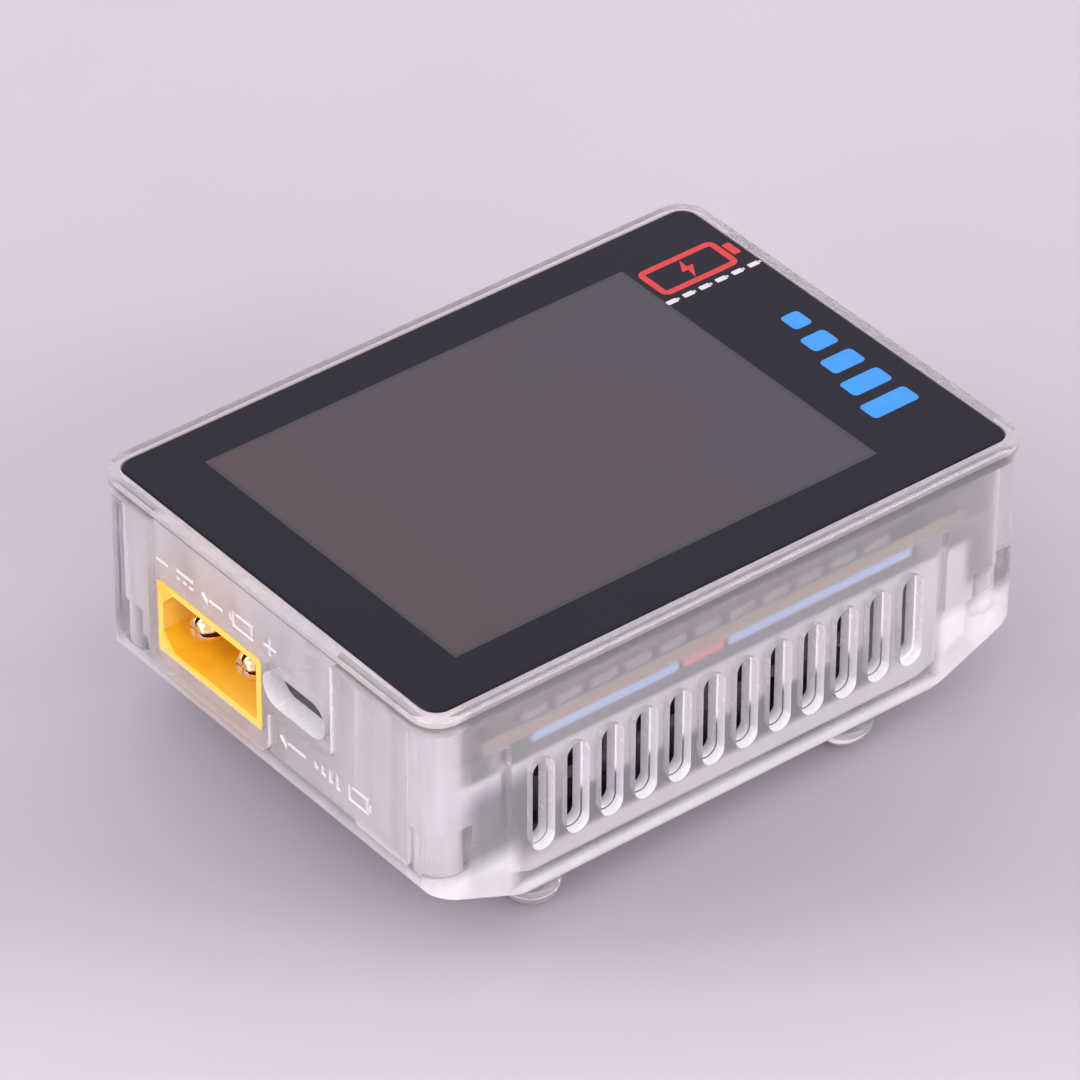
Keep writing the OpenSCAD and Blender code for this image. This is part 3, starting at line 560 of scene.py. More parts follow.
surface("grey_ceramic", (0.05, 0.046, 0.048), 0.4, 0.2, 1.6, 0.004, 5.0, (0.5, 0.49, 0.48))
surface("ceramic", (0.2, 0.15, 0.11), 0.4, 0.12, 1.6, 0.004, 5.0, (0.62, 0.6, 0.58))
surface("resistor", (0.03, 0.03, 0.034), 0.35, 0.2, 1.5, 0.004, 5.0, (0.5, 0.5, 0.52))
surface("can", (0.55, 0.56, 0.6), 0.25, 0.08, 1.0, 0.002, 5.0, (0.85, 0.85, 0.88), Metallic=0.9)
surface("red_part", (0.62, 0.03, 0.045), 0.34, 0.12, 1.0, 0.004, 4.0, (0.85, 0.2, 0.2))
surface("red_wire", (0.6, 0.018, 0.025), 0.36, 0.1, 1.2, 0.004, 4.0)
surface("black_wire", (0.012, 0.012, 0.013), 0.38, 0.2, 1.2, 0.004, 4.0)
surface("white_nylon", (0.8, 0.77, 0.69), 0.38, 0.06, 1.0, 0.006, 4.0, (0.9, 0.88, 0.82),
        Subsurface_Weight=0.1, Subsurface_Radius=(0.001, 0.0008, 0.0006))
surface("black_nylon", (0.016, 0.016, 0.018), 0.4, 0.2, 1.0, 0.006, 4.0, (0.06, 0.06, 0.065))
surface("polyimide", (0.52, 0.2, 0.035), 0.3, 0.15, 0.8, 0.003, 4.0)
surface("rubber_gasket", (0.015, 0.015, 0.016), 0.75, 0.25, 2.0, 0.015, 6.0)
surface("tray_steel", (0.55, 0.55, 0.57), 0.35, 0.08, 0.6, 0.004, 4.0, Metallic=1.0)
surface("light_guide", (0.86, 0.88, 0.92), 0.2, 0.04, 0.6, 0.003, 2.0, Transmission_Weight=0.3,
        IOR=1.49)
surface("lcd", (0.05, 0.045, 0.055), 0.12, 0.1, 0.4, 0.001, 1.0)
surface("bronze", (0.55, 0.36, 0.16), 0.36, 0.2, 1.5, 0.01, 6.0, (0.75, 0.56, 0.3), Metallic=1.0)
surface("magnet", (0.06, 0.058, 0.058), 0.5, 0.2, 1.5, 0.01, 6.0, (0.16, 0.16, 0.16), Metallic=0.3)


def screen_material():
    """The dark display: warm on the left, cool on the right, with a very fine grain."""
    tree, shader = blank("screen")
    vector = coordinates(tree)
    across = mapped(tree, parts(tree, vector)["X"], 0.0, 1.0, -26.0, 22.0)
    cloud = noise(tree, vector, 0.05, 1.0)
    shade = mixed(tree, across, (0.063, 0.044, 0.05), (0.054, 0.047, 0.062))
    shade = mixed(tree, mapped(tree, cloud, 0.0, 0.35), shade, (0.066, 0.043, 0.052))
    fine = noise(tree, vector, 4.0, 2.0)
    fill(tree, shader, Base_Color=shade, Roughness=mapped(tree, fine, 0.06, 0.09),
         Normal=bumped(tree, fine, 0.0004), IOR=1.37)


def board_material():
    """Green solder mask with copper tracks on both faces, and a bare tan edge."""
    tree, shader = blank("circuit_board")
    vector = coordinates(tree)
    tracks = node(tree, "TexBrick", offset=0.35, squash=0.6, Vector=vector, Scale=0.42,
                  Mortar_Size=0.035, Mortar_Smooth=0.2, Color1=(0.012, 0.05, 0.026, 1.0),
                  Color2=(0.016, 0.064, 0.034, 1.0), Mortar=(0.03, 0.115, 0.06, 1.0)).outputs
    mottle = noise(tree, vector, 1.1)
    mask = mixed(tree, mapped(tree, mottle, 0.0, 0.4), tracks["Color"], (0.01, 0.04, 0.02))
    normal = node(tree, "NewGeometry").outputs["Normal"]
    upright = node(tree, "Math", operation="ABSOLUTE", Value=parts(tree, normal)["Z"])
    flat = mapped(tree, upright.outputs[0], 0.0, 1.0, 0.45, 0.55)
    fibre = noise(tree, coordinates(tree, (1.0, 1.0, 8.0)), 1.2)
    edge = mixed(tree, fibre, (0.4, 0.31, 0.18), (0.52, 0.42, 0.28))
    fill(tree, shader, Base_Color=mixed(tree, flat, edge, mask),
         Roughness=mapped(tree, mottle, 0.22, 0.36), Normal=bumped(tree, tracks["Fac"], 0.02))


def copper_winding_material():
    """Turns of varnished copper wire."""
    tree, shader = blank("copper_winding")
    turns = node(tree, "TexWave", bands_direction="Z", Scale=1.6, Distortion=0.6,
                 Vector=coordinates(tree)).outputs["Fac"]
    shade = mixed(tree, turns, (0.28, 0.09, 0.03), (0.72, 0.31, 0.13))
    fill(tree, shader, Base_Color=shade, Roughness=mapped(tree, turns, 0.42, 0.25, 0.0, 1.0),
         Normal=bumped(tree, turns, 0.12), Metallic=0.8)


def frosted_material():
    """The case's inside faces: heavy frosting, thinner beside the board, fan and screws, with painted
    shade where the fan, the lower corner and the board lie behind the walls.
    """
    tree, shader = blank("clear_satin")
    vector, x, z = placed(tree)
    long_walls = band(tree, x, -31.4, 31.4, 0.8)
    board = product(tree, band(tree, z, BOARD_LOW.z - 2.3, TOP, 0.4), long_walls)
    upright = noise(tree, coordinates(tree, (1.0, 1.0, 0.12)), 0.35)
    short_walls = mapped(tree, long_walls, 1.0, 0.0, 0.0, 1.0)
    streaks = product(tree, mapped(tree, upright, 0.0, 0.5), short_walls)
    # Zones of painted shade, where the dark fan and the lower corner lie behind the wall; the frosting is
    # thinner there too.
    fan_z = FAN_LOW.z + 2.4
    fan = product(tree, band(tree, z, fan_z, FAN_HIGH.z, 0.5),
                  band(tree, x, FAN_LOW.x, FAN_HIGH.x, 0.7))
    corner = product(tree, band(tree, z, fan_z, 16.4, 1.4),
                     band(tree, x, -INSIDE_X + 2.6, FAN_LOW.x, 1.6))
    shaded = either(tree, fan, corner)
    screw = product(tree, band(tree, z, 12.8, TOP, 0.5), band(tree, x, POST_X - 2.6, POST_X + 2, 0.6))
    thin = either(tree, either(tree, screw, streaks), either(tree, board, shaded))
    mottle = noise(tree, vector, 0.5)
    shade = mixed(tree, mapped(tree, mottle, 0.0, 1.0), (0.98, 0.94, 0.965), (0.99, 0.96, 0.98))
    shade_patchiness = mapped(tree, noise(tree, vector, 0.12), 0.7, 1.0)
    # Painted shade: a patchy grey darkening of the frosted plastic over the fan and lower corner zones.
    shade = mixed(tree, product(tree, shaded, shade_patchiness), shade, (0.4, 0.39, 0.47))
    # Painted shade beside the board along the long walls: a brownish-grey darkening of the frosted
    # plastic.
    board_shade_band = product(tree, band(tree, z, BOARD_LOW.z + 0.3, PART_Z, 0.3), long_walls)
    shade = mixed(tree, board_shade_band, shade, (0.76, 0.7, 0.7))
    rim = band(tree, z, PART_Z + 0.1, TOP, 0.1)
    shade = mixed(tree, rim, shade, (0.85, 0.77, 0.74))
    fine = noise(tree, vector, 5.0)
    fill(tree, shader, Transmission_Weight=mapped(tree, thin, 0.12, 0.9, 0.0, 1.0),
         Base_Color=shade, Roughness=mapped(tree, fine, 0.32, 0.44),
         Normal=bumped(tree, fine, 0.004), IOR=1.5)


def painted_amber_light(tree, vector):
    """How strongly painted amber light from the yellow input housing colours the plastic around it."""
    away = node(tree, "VectorMath", operation="DISTANCE", Vector=vector)
    away.inputs[1].default_value = (-HALF_X, INPUT_Y, POWER_Z)
    return mapped(tree, away.outputs["Value"], 0.75, 0.0, 6.5, 12.5)


def polished_material():
    """The case's outside: clear, with a milky haze low down and in the lower corners, and painted amber
    light near the yellow input housing.
    """
    tree, shader = surface("clear_polished", (0.985, 0.955, 0.975), 0.045, 0.012, 0.3, 0.002, 0.8,
                           IOR=1.5)
    vector, x, z = placed(tree)
    near_end = product(tree, band(tree, x, -60, -25.6, 0.8), band(tree, z, 0, HEAD_SEAT + 1, 1.2))
    far_end = product(tree, band(tree, x, 24.6, 60, 0.8), band(tree, z, 0, 11.8, 1.0))
    low = band(tree, z, 0, FLOOR_Z + 2.2, 0.5)
    haze = either(tree, low, either(tree, near_end, far_end))
    milky = product(tree, haze, mapped(tree, noise(tree, vector, 0.25), 0.8, 1.0))
    plain = shader.inputs["Base Color"].links[0].from_socket
    # Painted light: the amber of the input housing, mixed into the plastic's colour near it.
    amber_lit_colour = mixed(tree, painted_amber_light(tree, vector), plain, (1.0, 0.76, 0.6))
    fill(tree, shader, Transmission_Weight=mapped(tree, milky, 0.88, 0.45, 0.0, 1.0),
         Base_Color=amber_lit_colour)


polished_material()
frosted_material()
screen_material()
board_material()
copper_winding_material()


# ---- shells

# Slot faces larger than this, in square millimetres, are shaded flat.
FLAT_AREA = 2.0


def four_corners(x, y):
    return [(sx * x, sy * y) for sx in (-1, 1) for sy in (-1, 1)]


POSTS = four_corners(POST_X, POST_Y)


def case_solid(name, inset, floor_inset, top):
    """The outer or inner form of the lower shell."""
    size = (2 * (SHELL_X - inset), 2 * (SHELL_Y - inset))
    corner = max(SHELL_CORNER - inset, 1.0)
    made = as_object(name, prism(rect(*size, corner), FLOOR_Z, top))
    combine(made, prism(side_outline(inset, floor_inset, top), -BEYOND, BEYOND, "Y"), "INTERSECT")
    combine(made, prism(end_outline(inset, floor_inset, top), -BEYOND - 10, BEYOND + 10, "X"), "INTERSECT")
    return made


def shape_of(target):
    """The mesh of an object as a shape in millimetres. The object is removed."""
    shape = bmesh.new()
    shape.from_mesh(target.data)
    bmesh.ops.scale(shape, vec=(1 / MM,) * 3, verts=shape.verts)
    bpy.data.objects.remove(target)
    return shape


def grille_cuts():
    """Ring-shaped intake slots under the fan, bridged by spokes."""
    shape = bmesh.new()
    sector = 2 * math.pi / SPOKES
    for inner in GRILLE_RINGS:
        gap = SPOKE_HALF_WIDTH / (inner + GRILLE_SLOT / 2)
        for k in range(SPOKES):
            start, end = sector * k + gap, sector * (k + 1) - gap
            outline = ring_sector(inner, inner + GRILLE_SLOT, start, end, (FAN_X, FAN_Y))
            prism(outline, FLOOR_Z - 1, FAN_LOW.z + 0.3, "Z", shape)
    return shape


def vent_cuts(width, height, y_from, y_to):
    """One row of vent slots between two distances from the middle line, on both sides."""
    shape = bmesh.new()
    for i in range(VENT_COUNT):
        x = VENT_MIDDLE_X + (i - (VENT_COUNT - 1) / 2) * VENT_PITCH
        for side in (-1, 1):
            prism(stadium(width, height, (x, VENT_MIDDLE_Z)), side * y_from, side * y_to, "Y", shape)
    return shape


def wall_pockets():
    """Shallow square recesses in the inner faces of both short walls."""
    shape = bmesh.new()
    for side in (-1, 1):
        outline = rect(7.8, 16.0, 0.4, (-16.8, 16.9), 3)
        prism(outline, side * (INSIDE_X - 1), side * (INSIDE_X + 0.5), "X", shape)
    return shape


def clip_to(target, inset, top):
    """Keeps only what lies inside the case's form."""
    combine(target, shape_of(case_solid("form", inset, inset, top)), "INTERSECT")


def paint_shell(target, is_outside, is_slot):
    """Polished outside, satin inside, and whiter slot walls."""
    set_materials(target, "clear_polished", "clear_satin", "clear_slot")
    for polygon in target.data.polygons:
        centre = polygon.center / MM
        if is_slot(centre, polygon.normal):
            polygon.material_index = 2
            polygon.use_smooth = polygon.area < FLAT_AREA * MM**2
        else:
            polygon.material_index = 0 if is_outside(centre, polygon.normal) else 1


def plan_depth(point, half_x, half_y, corner):
    """How far a point lies inside a rounded rectangle, seen from above."""
    u, v = half_x - abs(point.x), half_y - abs(point.y)
    if u < corner and v < corner:
        return corner - math.hypot(corner - u, corner - v)
    return min(u, v)


def case_depth(point):
    """How far a point lies inside the lower shell's outer form."""
    inwards, above = SHELL_X - abs(point.x), point.z - FLOOR_Z - BEVEL_HEIGHT
    slope = inwards * math.sin(BEVEL_ANGLE) + above * math.cos(BEVEL_ANGLE)
    return min(plan_depth(point, SHELL_X, SHELL_Y, SHELL_CORNER), point.z - FLOOR_Z, slope)


def build_lower_shell():
    top = PART_Z - PARTING_GAP
    shell = case_solid("lower_case", 0, 0, top)
    cut(shell, shape_of(case_solid("hollow", WALL, FLOOR_THICK, PART_Z + 1)))

    inner = bmesh.new()
    for x, y in POSTS:
        profile = [(2.9, FLOOR_Z), (2.9, HEAD_SEAT + 2.2), (POST_RADIUS, HEAD_SEAT + 2.3),
                   (POST_RADIUS, POST_SPLIT)]
        lathe(profile, "Z", (x, y), 32, inner)
    for sx, sy in four_corners(1, 1):
        y_in, y_out = INSIDE_Y - 1.6, INSIDE_Y + 0.4
        low_y, high_y = sorted((sy * y_in, sy * y_out))
        block((sx * RIB_X - 0.6, low_y, FLOOR_Z), (sx * RIB_X + 0.6, high_y, BOARD_LOW.z - 0.02),
              inner)
    supports = as_object("supports", inner)
    clip_to(supports, 0.5, top)
    combine(shell, shape_of(supports), "UNION")

    cuts = bmesh.new()
    prism(input_panel(PANEL_PLAY), -BEYOND, -INSIDE_X + 0.6, "X", cuts)
    prism(output_panel(PANEL_PLAY), INSIDE_X - 0.6, BEYOND, "X", cuts)
    cut(shell, cuts)
    cut(shell, vent_cuts(VENT_WIDTH, VENT_HEIGHT, SHELL_Y + 1, SHELL_Y - 1.05))
    cut(shell, vent_cuts(VENT_WIDTH - 0.4, VENT_HEIGHT - 0.4, SHELL_Y - 0.5, INSIDE_Y - 1))
    cut(shell, grille_cuts())
    cut(shell, wall_pockets())

    holes = bmesh.new()
    for x, y in POSTS:
        profile = [(HEAD_RADIUS + 0.1, -1), (HEAD_RADIUS + 0.1, HEAD_SEAT),
                   (SCREW_RADIUS + 0.15, HEAD_SEAT + 0.01), (SCREW_RADIUS + 0.15, POST_SPLIT + 1)]
        lathe(profile, "Z", (x, y), 32, holes)
    for x, y in four_corners(FAN_SCREW_REACH, FAN_SCREW_REACH):
        profile = [(2.3, FLOOR_Z - 1), (2.3, FLOOR_Z), (1.35, FLOOR_Z + 1), (1.35, FAN_LOW.z + 1)]
        lathe(profile, "Z", (FAN_X + x, FAN_Y + y), 24, holes)
    cut(shell, holes)
    cut(shell, lower_symbols())
    soften(shell, 0.14, 2, 35, apply=True)

    def is_slot(point, normal):
        near_vents = abs(point.z - VENT_MIDDLE_Z) < VENT_HEIGHT / 2 + 0.3 and abs(point.x) < 24.6
        in_wall = INSIDE_Y - 0.2 < abs(point.y) < SHELL_Y - 0.05
        in_symbol = -SHELL_X + 0.02 < point.x < -SHELL_X + 0.4 and 11.5 < point.z < 14.5
        in_symbol = in_symbol and abs(normal.x) < 0.9 and abs(point.y) < SYMBOL_REACH
        return in_symbol or (near_vents and in_wall and abs(normal.y) < 0.9)

    def is_outside(point, normal):
        level = abs(normal.z) > 0.9 and (point.z < FLOOR_Z + FLOOR_THICK or point.z > top - 0.2)
        return case_depth(point) < SKIN and not level

    paint_shell(shell, is_outside, is_slot)
    piece(shell, None, ["lower_shell"])


def build_upper_shell():
    rim_loops = []
    round_top, round_low = 0.5, 0.25
    for k in range(4):
        angle = math.pi / 2 * k / 3
        height = PART_Z + round_low * (1 - math.cos(angle))
        rim_loops.append((round_low * (1 - math.sin(angle)), height))
    for k in range(6):
        angle = math.pi / 2 * k / 5
        height = TOP - round_top * (1 - math.sin(angle))
        rim_loops.append((round_top * (1 - math.cos(angle)), height))
    loops = [
        at_height(rect(2 * (HALF_X - inset), 2 * (HALF_Y - inset), RIM_CORNER - inset), z)
        for inset, z in rim_loops
    ]
    shell = as_object("upper_case", stack(loops))
    width, length = 2 * (INSIDE_X - SHELL_GAP), 2 * (INSIDE_Y - SHELL_GAP)
    combine(shell, prism(rect(width, length, 1.2), LEDGE_BOTTOM, PART_Z + 0.3), "UNION")
    lip = as_object("lip", prism(rect(width, length, 1.2), PART_Z - LIP_HEIGHT, PART_Z + 0.1))
    thin = 2 * LIP_THICKNESS
    cut(lip, prism(rect(width - thin, length - thin, 0.6), 20, 30))
    combine(shell, shape_of(lip), "UNION")
    combine(shell, prism(input_panel(0), -HALF_X, -INSIDE_X - 0.3, "X"), "UNION")
    combine(shell, prism(output_panel(0), INSIDE_X + 0.3, HALF_X, "X"), "UNION")
    collar = rect(PORT_WINDOW[0] + 1.2, PORT_WINDOW[1] + 1, 0.6, (PORT_Y, BOARD_LOW.z - 1.9))
    combine(shell, prism(collar, -HALF_X + 1, PORT_LOW.x, "X"), "UNION")

    inner = bmesh.new()
    for x, y in POSTS:
        prism(circle(POST_RADIUS, (x, y), 32), POST_SPLIT + 0.05, PART_Z + 0.2, "Z", inner)
    for sx, sy in four_corners(1, 1):
        low_y, high_y = sorted((sy * (INSIDE_Y - 1.4), sy * (INSIDE_Y - 0.25)))
        block((sx * RIB_X - 1.2, low_y, BOARD_HIGH.z + 0.02), (sx * RIB_X + 1.2, high_y, PART_Z), inner)
    supports = as_object("blocks", inner)
    combine(supports, prism(rect(width, length, 1.2), POST_SPLIT, PART_Z + 0.3), "INTERSECT")
    combine(shell, shape_of(supports), "UNION")

    cuts = bmesh.new()
    glass = (GLASS_HIGH.x - GLASS_LOW.x + 0.2, GLASS_HIGH.y - GLASS_LOW.y + 0.2)
    prism(rect(*glass, 1.9), LEDGE_TOP, TOP + 1, "Z", cuts)
    display = (LCD_HIGH.x - LCD_LOW.x + 2.2, LCD_HIGH.y - LCD_LOW.y + 1.0)
    middle = ((LCD_LOW.x + LCD_HIGH.x) / 2, (LCD_LOW.y + LCD_HIGH.y) / 2)
    prism(rect(*display, 0.6, middle), BOARD_HIGH.z + 0.5, TOP, "Z", cuts)
    near_end, far_end = (-BEYOND, -INSIDE_X + 1), (INSIDE_X - 1, BEYOND)
    window = rect(POWER_WIDTH + 0.24, POWER_HEIGHT + 0.24, 0.55, (INPUT_Y, POWER_Z))
    prism(window, *near_end, "X", cuts)
    window = rect(POWER_WIDTH + 0.6, POWER_HEIGHT + 0.6, 0.9, (OUTPUT_Y, POWER_Z))
    prism(window, *far_end, "X", cuts)
    prism(stadium(*PORT_WINDOW, (PORT_Y, PORT_WINDOW_Z)), *near_end, "X", cuts)
    balance = (BALANCE_HIGH.y - BALANCE_LOW.y + 0.2, BALANCE_HIGH.z - BALANCE_LOW.z + 0.2)
    window = rect(*balance, 0.3, (BALANCE_Y, (BALANCE_LOW.z + BALANCE_HIGH.z) / 2))
    prism(window, *far_end, "X", cuts)
    for x, y in POSTS:
        prism(circle(SCREW_RADIUS + 0.02, (x, y), 24), 0, SCREW_END + 0.6, "Z", cuts)
    cut(shell, cuts)
    cut(shell, upper_symbols())
    soften(shell, 0.12, 2, 35, apply=True)

    def is_outside(point, normal):
        parting = point.z < PART_Z + 0.1 and normal.z < -0.9
        outer = plan_depth(point, HALF_X, HALF_Y, RIM_CORNER) < SKIN or point.z > TOP - 0.3
        lip = PART_Z - LIP_HEIGHT - 0.1 < point.z < PART_Z and abs(point.y) > INSIDE_Y - 1.4
        post = math.hypot(abs(point.x) - POST_X, abs(point.y) - POST_Y) < POST_RADIUS + 0.1
        return (outer or lip or (post and point.z < BOARD_HIGH.z)) and not parting

    def is_slot(point, normal):
        in_wall = INSIDE_X - 0.1 < abs(point.x) < HALF_X - 0.1
        in_symbol = -HALF_X + 0.02 < point.x < -HALF_X + 0.4 and 21.4 < point.z < 24.2
        in_symbol = in_symbol and abs(point.y) < SYMBOL_REACH
        return abs(normal.x) < 0.9 and (in_symbol or (in_wall and point.z < PART_Z - 1))

    paint_shell(shell, is_outside, is_slot)
    piece(shell, None, ["upper_shell"])


# ---- moulded symbols

SYMBOL_DEPTH = 0.28
SYMBOL_REACH = 18.0


def arrow_outline(y, z, length, height):
    """An arrow that points along +Y, in Y and Z."""
    stem, head = height * 0.16, height / 2
    tip, neck = y + length / 2, y + length / 2 - height * 0.55
    back = y - length / 2
    return [(back, z - stem), (neck, z - stem), (neck, z - head), (tip, z), (neck, z + head),
            (neck, z + stem), (back, z + stem)]


def ring_outline(y, z, width, height, line):
    """Four bars that together draw a rectangle's outline."""
    w, h = width / 2, height / 2
    return [
        [(y - w, z - h), (y + w, z - h), (y + w, z - h + line), (y - w, z - h + line)],
        [(y - w, z + h - line), (y + w, z + h - line), (y + w, z + h), (y - w, z + h)],
        [(y - w, z - h + line), (y - w + line, z - h + line), (y - w + line, z + h - line),
         (y - w, z + h - line)],
        [(y + w - line, z - h + line), (y + w, z - h + line), (y + w, z + h - line),
         (y + w - line, z + h - line)],
    ]


def bar(y, z, width, height):
    return rect(width, height, 0, (y, z))


def upper_symbols():
    """Sunk marks over the power input: minus, direct current, arrow inwards, battery, plus."""
    shape = bmesh.new()
    z, line = 22.8, 0.34
    marks = [bar(14.9, z, 1.9, line)]
    marks += [bar(11.4, z + 0.4, 2.6, line)]
    marks += [bar(11.4 + step, z - 0.4, 0.6, line) for step in (-1.0, 0.0, 1.0)]
    marks += [arrow_outline(7.2, z, 3.4, 1.9)]
    marks += ring_outline(2.5, z, 3.2, 1.8, line)
    marks += [bar(4.35, z, 0.4, 0.8)]
    marks += [bar(-1.6, z, 1.9, line)]
    marks += [bar(-1.6, z + step, line, 0.75) for step in (0.575, -0.575)]
    for mark in marks:
        prism(mark, -HALF_X - 1, -HALF_X + SYMBOL_DEPTH, "X", shape)
    return shape


def lower_symbols():
    """Sunk marks under the power delivery port: arrow inwards, rising bars and a battery."""
    shape = bmesh.new()
    z, line = 13.0, 0.34
    marks = [arrow_outline(-4.4, z, 4.0, 2.0)]
    marks += [bar(-8.0 - 1.1 * k, z, 0.6, 0.7 + 0.35 * k) for k in range(4)]
    marks += ring_outline(-14.3, z, 3.0, 1.9, line)
    marks += [bar(-16.0, z, 0.36, 0.9)]
    for mark in marks:
        prism(mark, -SHELL_X - 1, -SHELL_X + SYMBOL_DEPTH, "X", shape)
    return shape


# ---- cover glass and its marks

MARK_THICKNESS = 0.03
GLASS_TOP = TOP - 0.015
SCREEN_MIDDLE = (-2.48, 0.36)
SCREEN_SIZE = (49.76, 37.7)
SCREEN_EDGE = 0.45


def build_cover_glass():
    """One plate: chamfered edge, black border, thin grey frame and the display window."""
    width, length = GLASS_HIGH.x - GLASS_LOW.x, GLASS_HIGH.y - GLASS_LOW.y
    corner, chamfer = 1.8, 0.22
    outer = [
        (0.12, GLASS_LOW.z + 0.02), (0.0, GLASS_LOW.z + 0.14), (0.0, GLASS_TOP - chamfer),
        (0.06, GLASS_TOP - chamfer * 0.38), (chamfer, GLASS_TOP),
    ]
    loops = [
        at_height(rect(width - 2 * inset, length - 2 * inset, corner - inset), z)
        for inset, z in outer
    ]
    wide, high = SCREEN_SIZE
    for inset in (0.0, SCREEN_EDGE):
        outline = rect(wide - 2 * inset, high - 2 * inset, 0.15, SCREEN_MIDDLE)
        loops.append(at_height(outline, GLASS_TOP))
    glass = as_object("touch_glass", stack(loops))
    set_materials(glass, "black_print", "screen_edge", "screen")
    count, screen_edge = len(loops[0]), len(loops) - 2
    for i, polygon in enumerate(glass.data.polygons):
        ring = i // count
        polygon.material_index = 1 if ring == screen_edge else 0
        polygon.use_smooth = ring < len(outer) - 1
    glass.data.polygons[-1].material_index = 2
    piece(glass, None, ["cover_glass"])


def flat_mark(outlines, name, material):
    """Thin printed shapes let into the glass."""
    shape = bmesh.new()
    for outline in outlines:
        prism(outline, GLASS_TOP - MARK_THICKNESS, TOP - 0.002, "Z", shape)
    piece(as_object(name, shape), material)


def frame_outlines(low, high, line, radius):
    """The two halves of a rounded rectangular line."""
    x, y = (low[0] + high[0]) / 2, (low[1] + high[1]) / 2
    w, h = high[0] - low[0], high[1] - low[1]
    outer = rect(w, h, radius, (x, y), 4)
    inner = rect(w - 2 * line, h - 2 * line, max(radius - line, 0.05), (x, y), 4)
    half = len(outer) // 2
    right = outer[:half] + inner[:half][::-1]
    left = outer[half:] + [outer[0]] + [inner[0]] + inner[half:][::-1]
    bridge = [outer[half - 1], outer[half], inner[half], inner[half - 1]]
    return [right, left, bridge]


def bolt_outline(x, y, size):
    """A lightning bolt."""
    points = [(0.12, 1.0), (-0.55, -0.12), (-0.08, -0.12), (-0.2, -1.0), (0.55, 0.2), (0.06, 0.2)]
    return [(x + size * a, y + size * b) for a, b in points]


def build_marks():
    """Generic pictures: a red battery, six small cells under it, and blue charge-level bars."""
    red = frame_outlines((23.0, 13.3), (32.4, 18.0), 0.7, 0.9)
    red += [rect(0.9, 2.0, 0.2, (33.1, 15.65), 3), bolt_outline(27.7, 15.65, 1.55)]
    flat_mark(red, "mark_battery", "red_print")
    cells = []
    for k in range(6):
        x = 23.0 + 2.02 * k
        cells += [rect(1.25, 0.62, 0.12, (x, 12.3), 2), rect(0.2, 0.3, 0.0, (x + 0.78, 12.3), 2)]
    flat_mark(cells, "mark_cells", "white_print")
    bars = []
    for k in range(5):
        reach = 2.2 + 0.85 * k
        y = 2.6 - 3.9 * k
        bars.append(rect(reach, 2.5, 0.5, (31.4 - reach / 2, y), 4))
    flat_mark(bars, "mark_charge_level", "blue_print")


# ---- connectors

CAVITY_DEPTH = 8.5
CONNECTOR_RIM = 0.75
CONTACT_TIP = node_box("input_contact_pins")[0].x
CONTACT_SHOULDER = -HALF_X + CAVITY_DEPTH
CONTACT_BACK = IN_HIGH.x - 2.5
LEAD_X = 24.5
LEAD_RADIUS = 0.9


def contact_places(middle):
    return [(middle + side * CONTACT_PITCH / 2, POWER_Z) for side in (-1, 1)]


def build_input_housing():
    outline = rect(POWER_WIDTH, POWER_HEIGHT, 0.45, (INPUT_Y, POWER_Z))
    housing = as_object("yellow_input_housing", prism(outline, IN_LOW.x + 0.02, IN_HIGH.x, "X"))
    size = (POWER_WIDTH - 2 * CONNECTOR_RIM, POWER_HEIGHT - 2 * CONNECTOR_RIM)
    cavity = plug_outline(*size, 1.7, (INPUT_Y, POWER_Z))
    cut(housing, prism(cavity, -HALF_X - 1, -HALF_X + CAVITY_DEPTH, "X"))
    holes = bmesh.new()
    for place in contact_places(INPUT_Y):
        prism(circle(CONTACT_RADIUS + 0.3, place, 40), CONTACT_SHOULDER - 1, CONTACT_BACK, "X", holes)
        prism(circle(LEAD_RADIUS, (-LEAD_X, place[0]), 24), POWER_Z, POWER_Z + 9, "Z", holes)
    cut(housing, holes)
    soften(housing, 0.12, 3, 32)
    piece(housing, "yellow_nylon", ["input_connector_housing"])


def petal(centre, start, end, shape):
    """One sprung quarter of a round contact: a thick shell with a bulge and a rounded tip."""
    tip, root = CONTACT_TIP, CONTACT_SHOULDER + 0.4
    length = root - tip
    stations = []
    for share in (0.0, 0.03, 0.08, 0.16, 0.28, 0.42, 0.58, 0.74, 0.88, 1.0):
        bulge = math.sin(math.pi * min(share * 1.25, 1.0)) ** 0.8 * 0.42
        nose = 0.5 * max(0.0, 1 - share / 0.14) ** 1.6
        stations.append((share, CONTACT_RADIUS - 0.26 + bulge - nose))
    loops = []
    for share, outer in stations:
        inner = max(outer - 0.5 - 0.2 * (1 - share), 0.2)
        outline = ring_sector(inner, outer, start, end, centre, 8)
        loops.append([(tip + length * share, p.x, p.y) for p in outline])
    stack(loops, shape)


def build_input_pins():
    shape = bmesh.new()
    quarter, gap = math.pi / 2, 0.17
    for centre in contact_places(INPUT_Y):
        for k in range(4):
            petal(centre, k * quarter + gap, (k + 1) * quarter - gap, shape)
        profile = [
            (CONTACT_RADIUS - 0.35, CONTACT_SHOULDER - 0.9), (CONTACT_RADIUS, CONTACT_SHOULDER - 0.6),
            (CONTACT_RADIUS, CONTACT_SHOULDER - 0.05), (CONTACT_RADIUS + 0.25, CONTACT_SHOULDER),
            (CONTACT_RADIUS + 0.25, CONTACT_BACK),
        ]
        lathe(profile, "X", centre, 40, shape)
        prism(circle(LEAD_RADIUS - 0.02, (-LEAD_X, centre[0]), 24), POWER_Z, BOARD_HIGH.z + 0.45, "Z",
              shape)
    pins = soften(as_object("gold_input_contacts", shape), 0.07, 2, 40)
    piece(pins, "gold", ["input_contact_pins"])


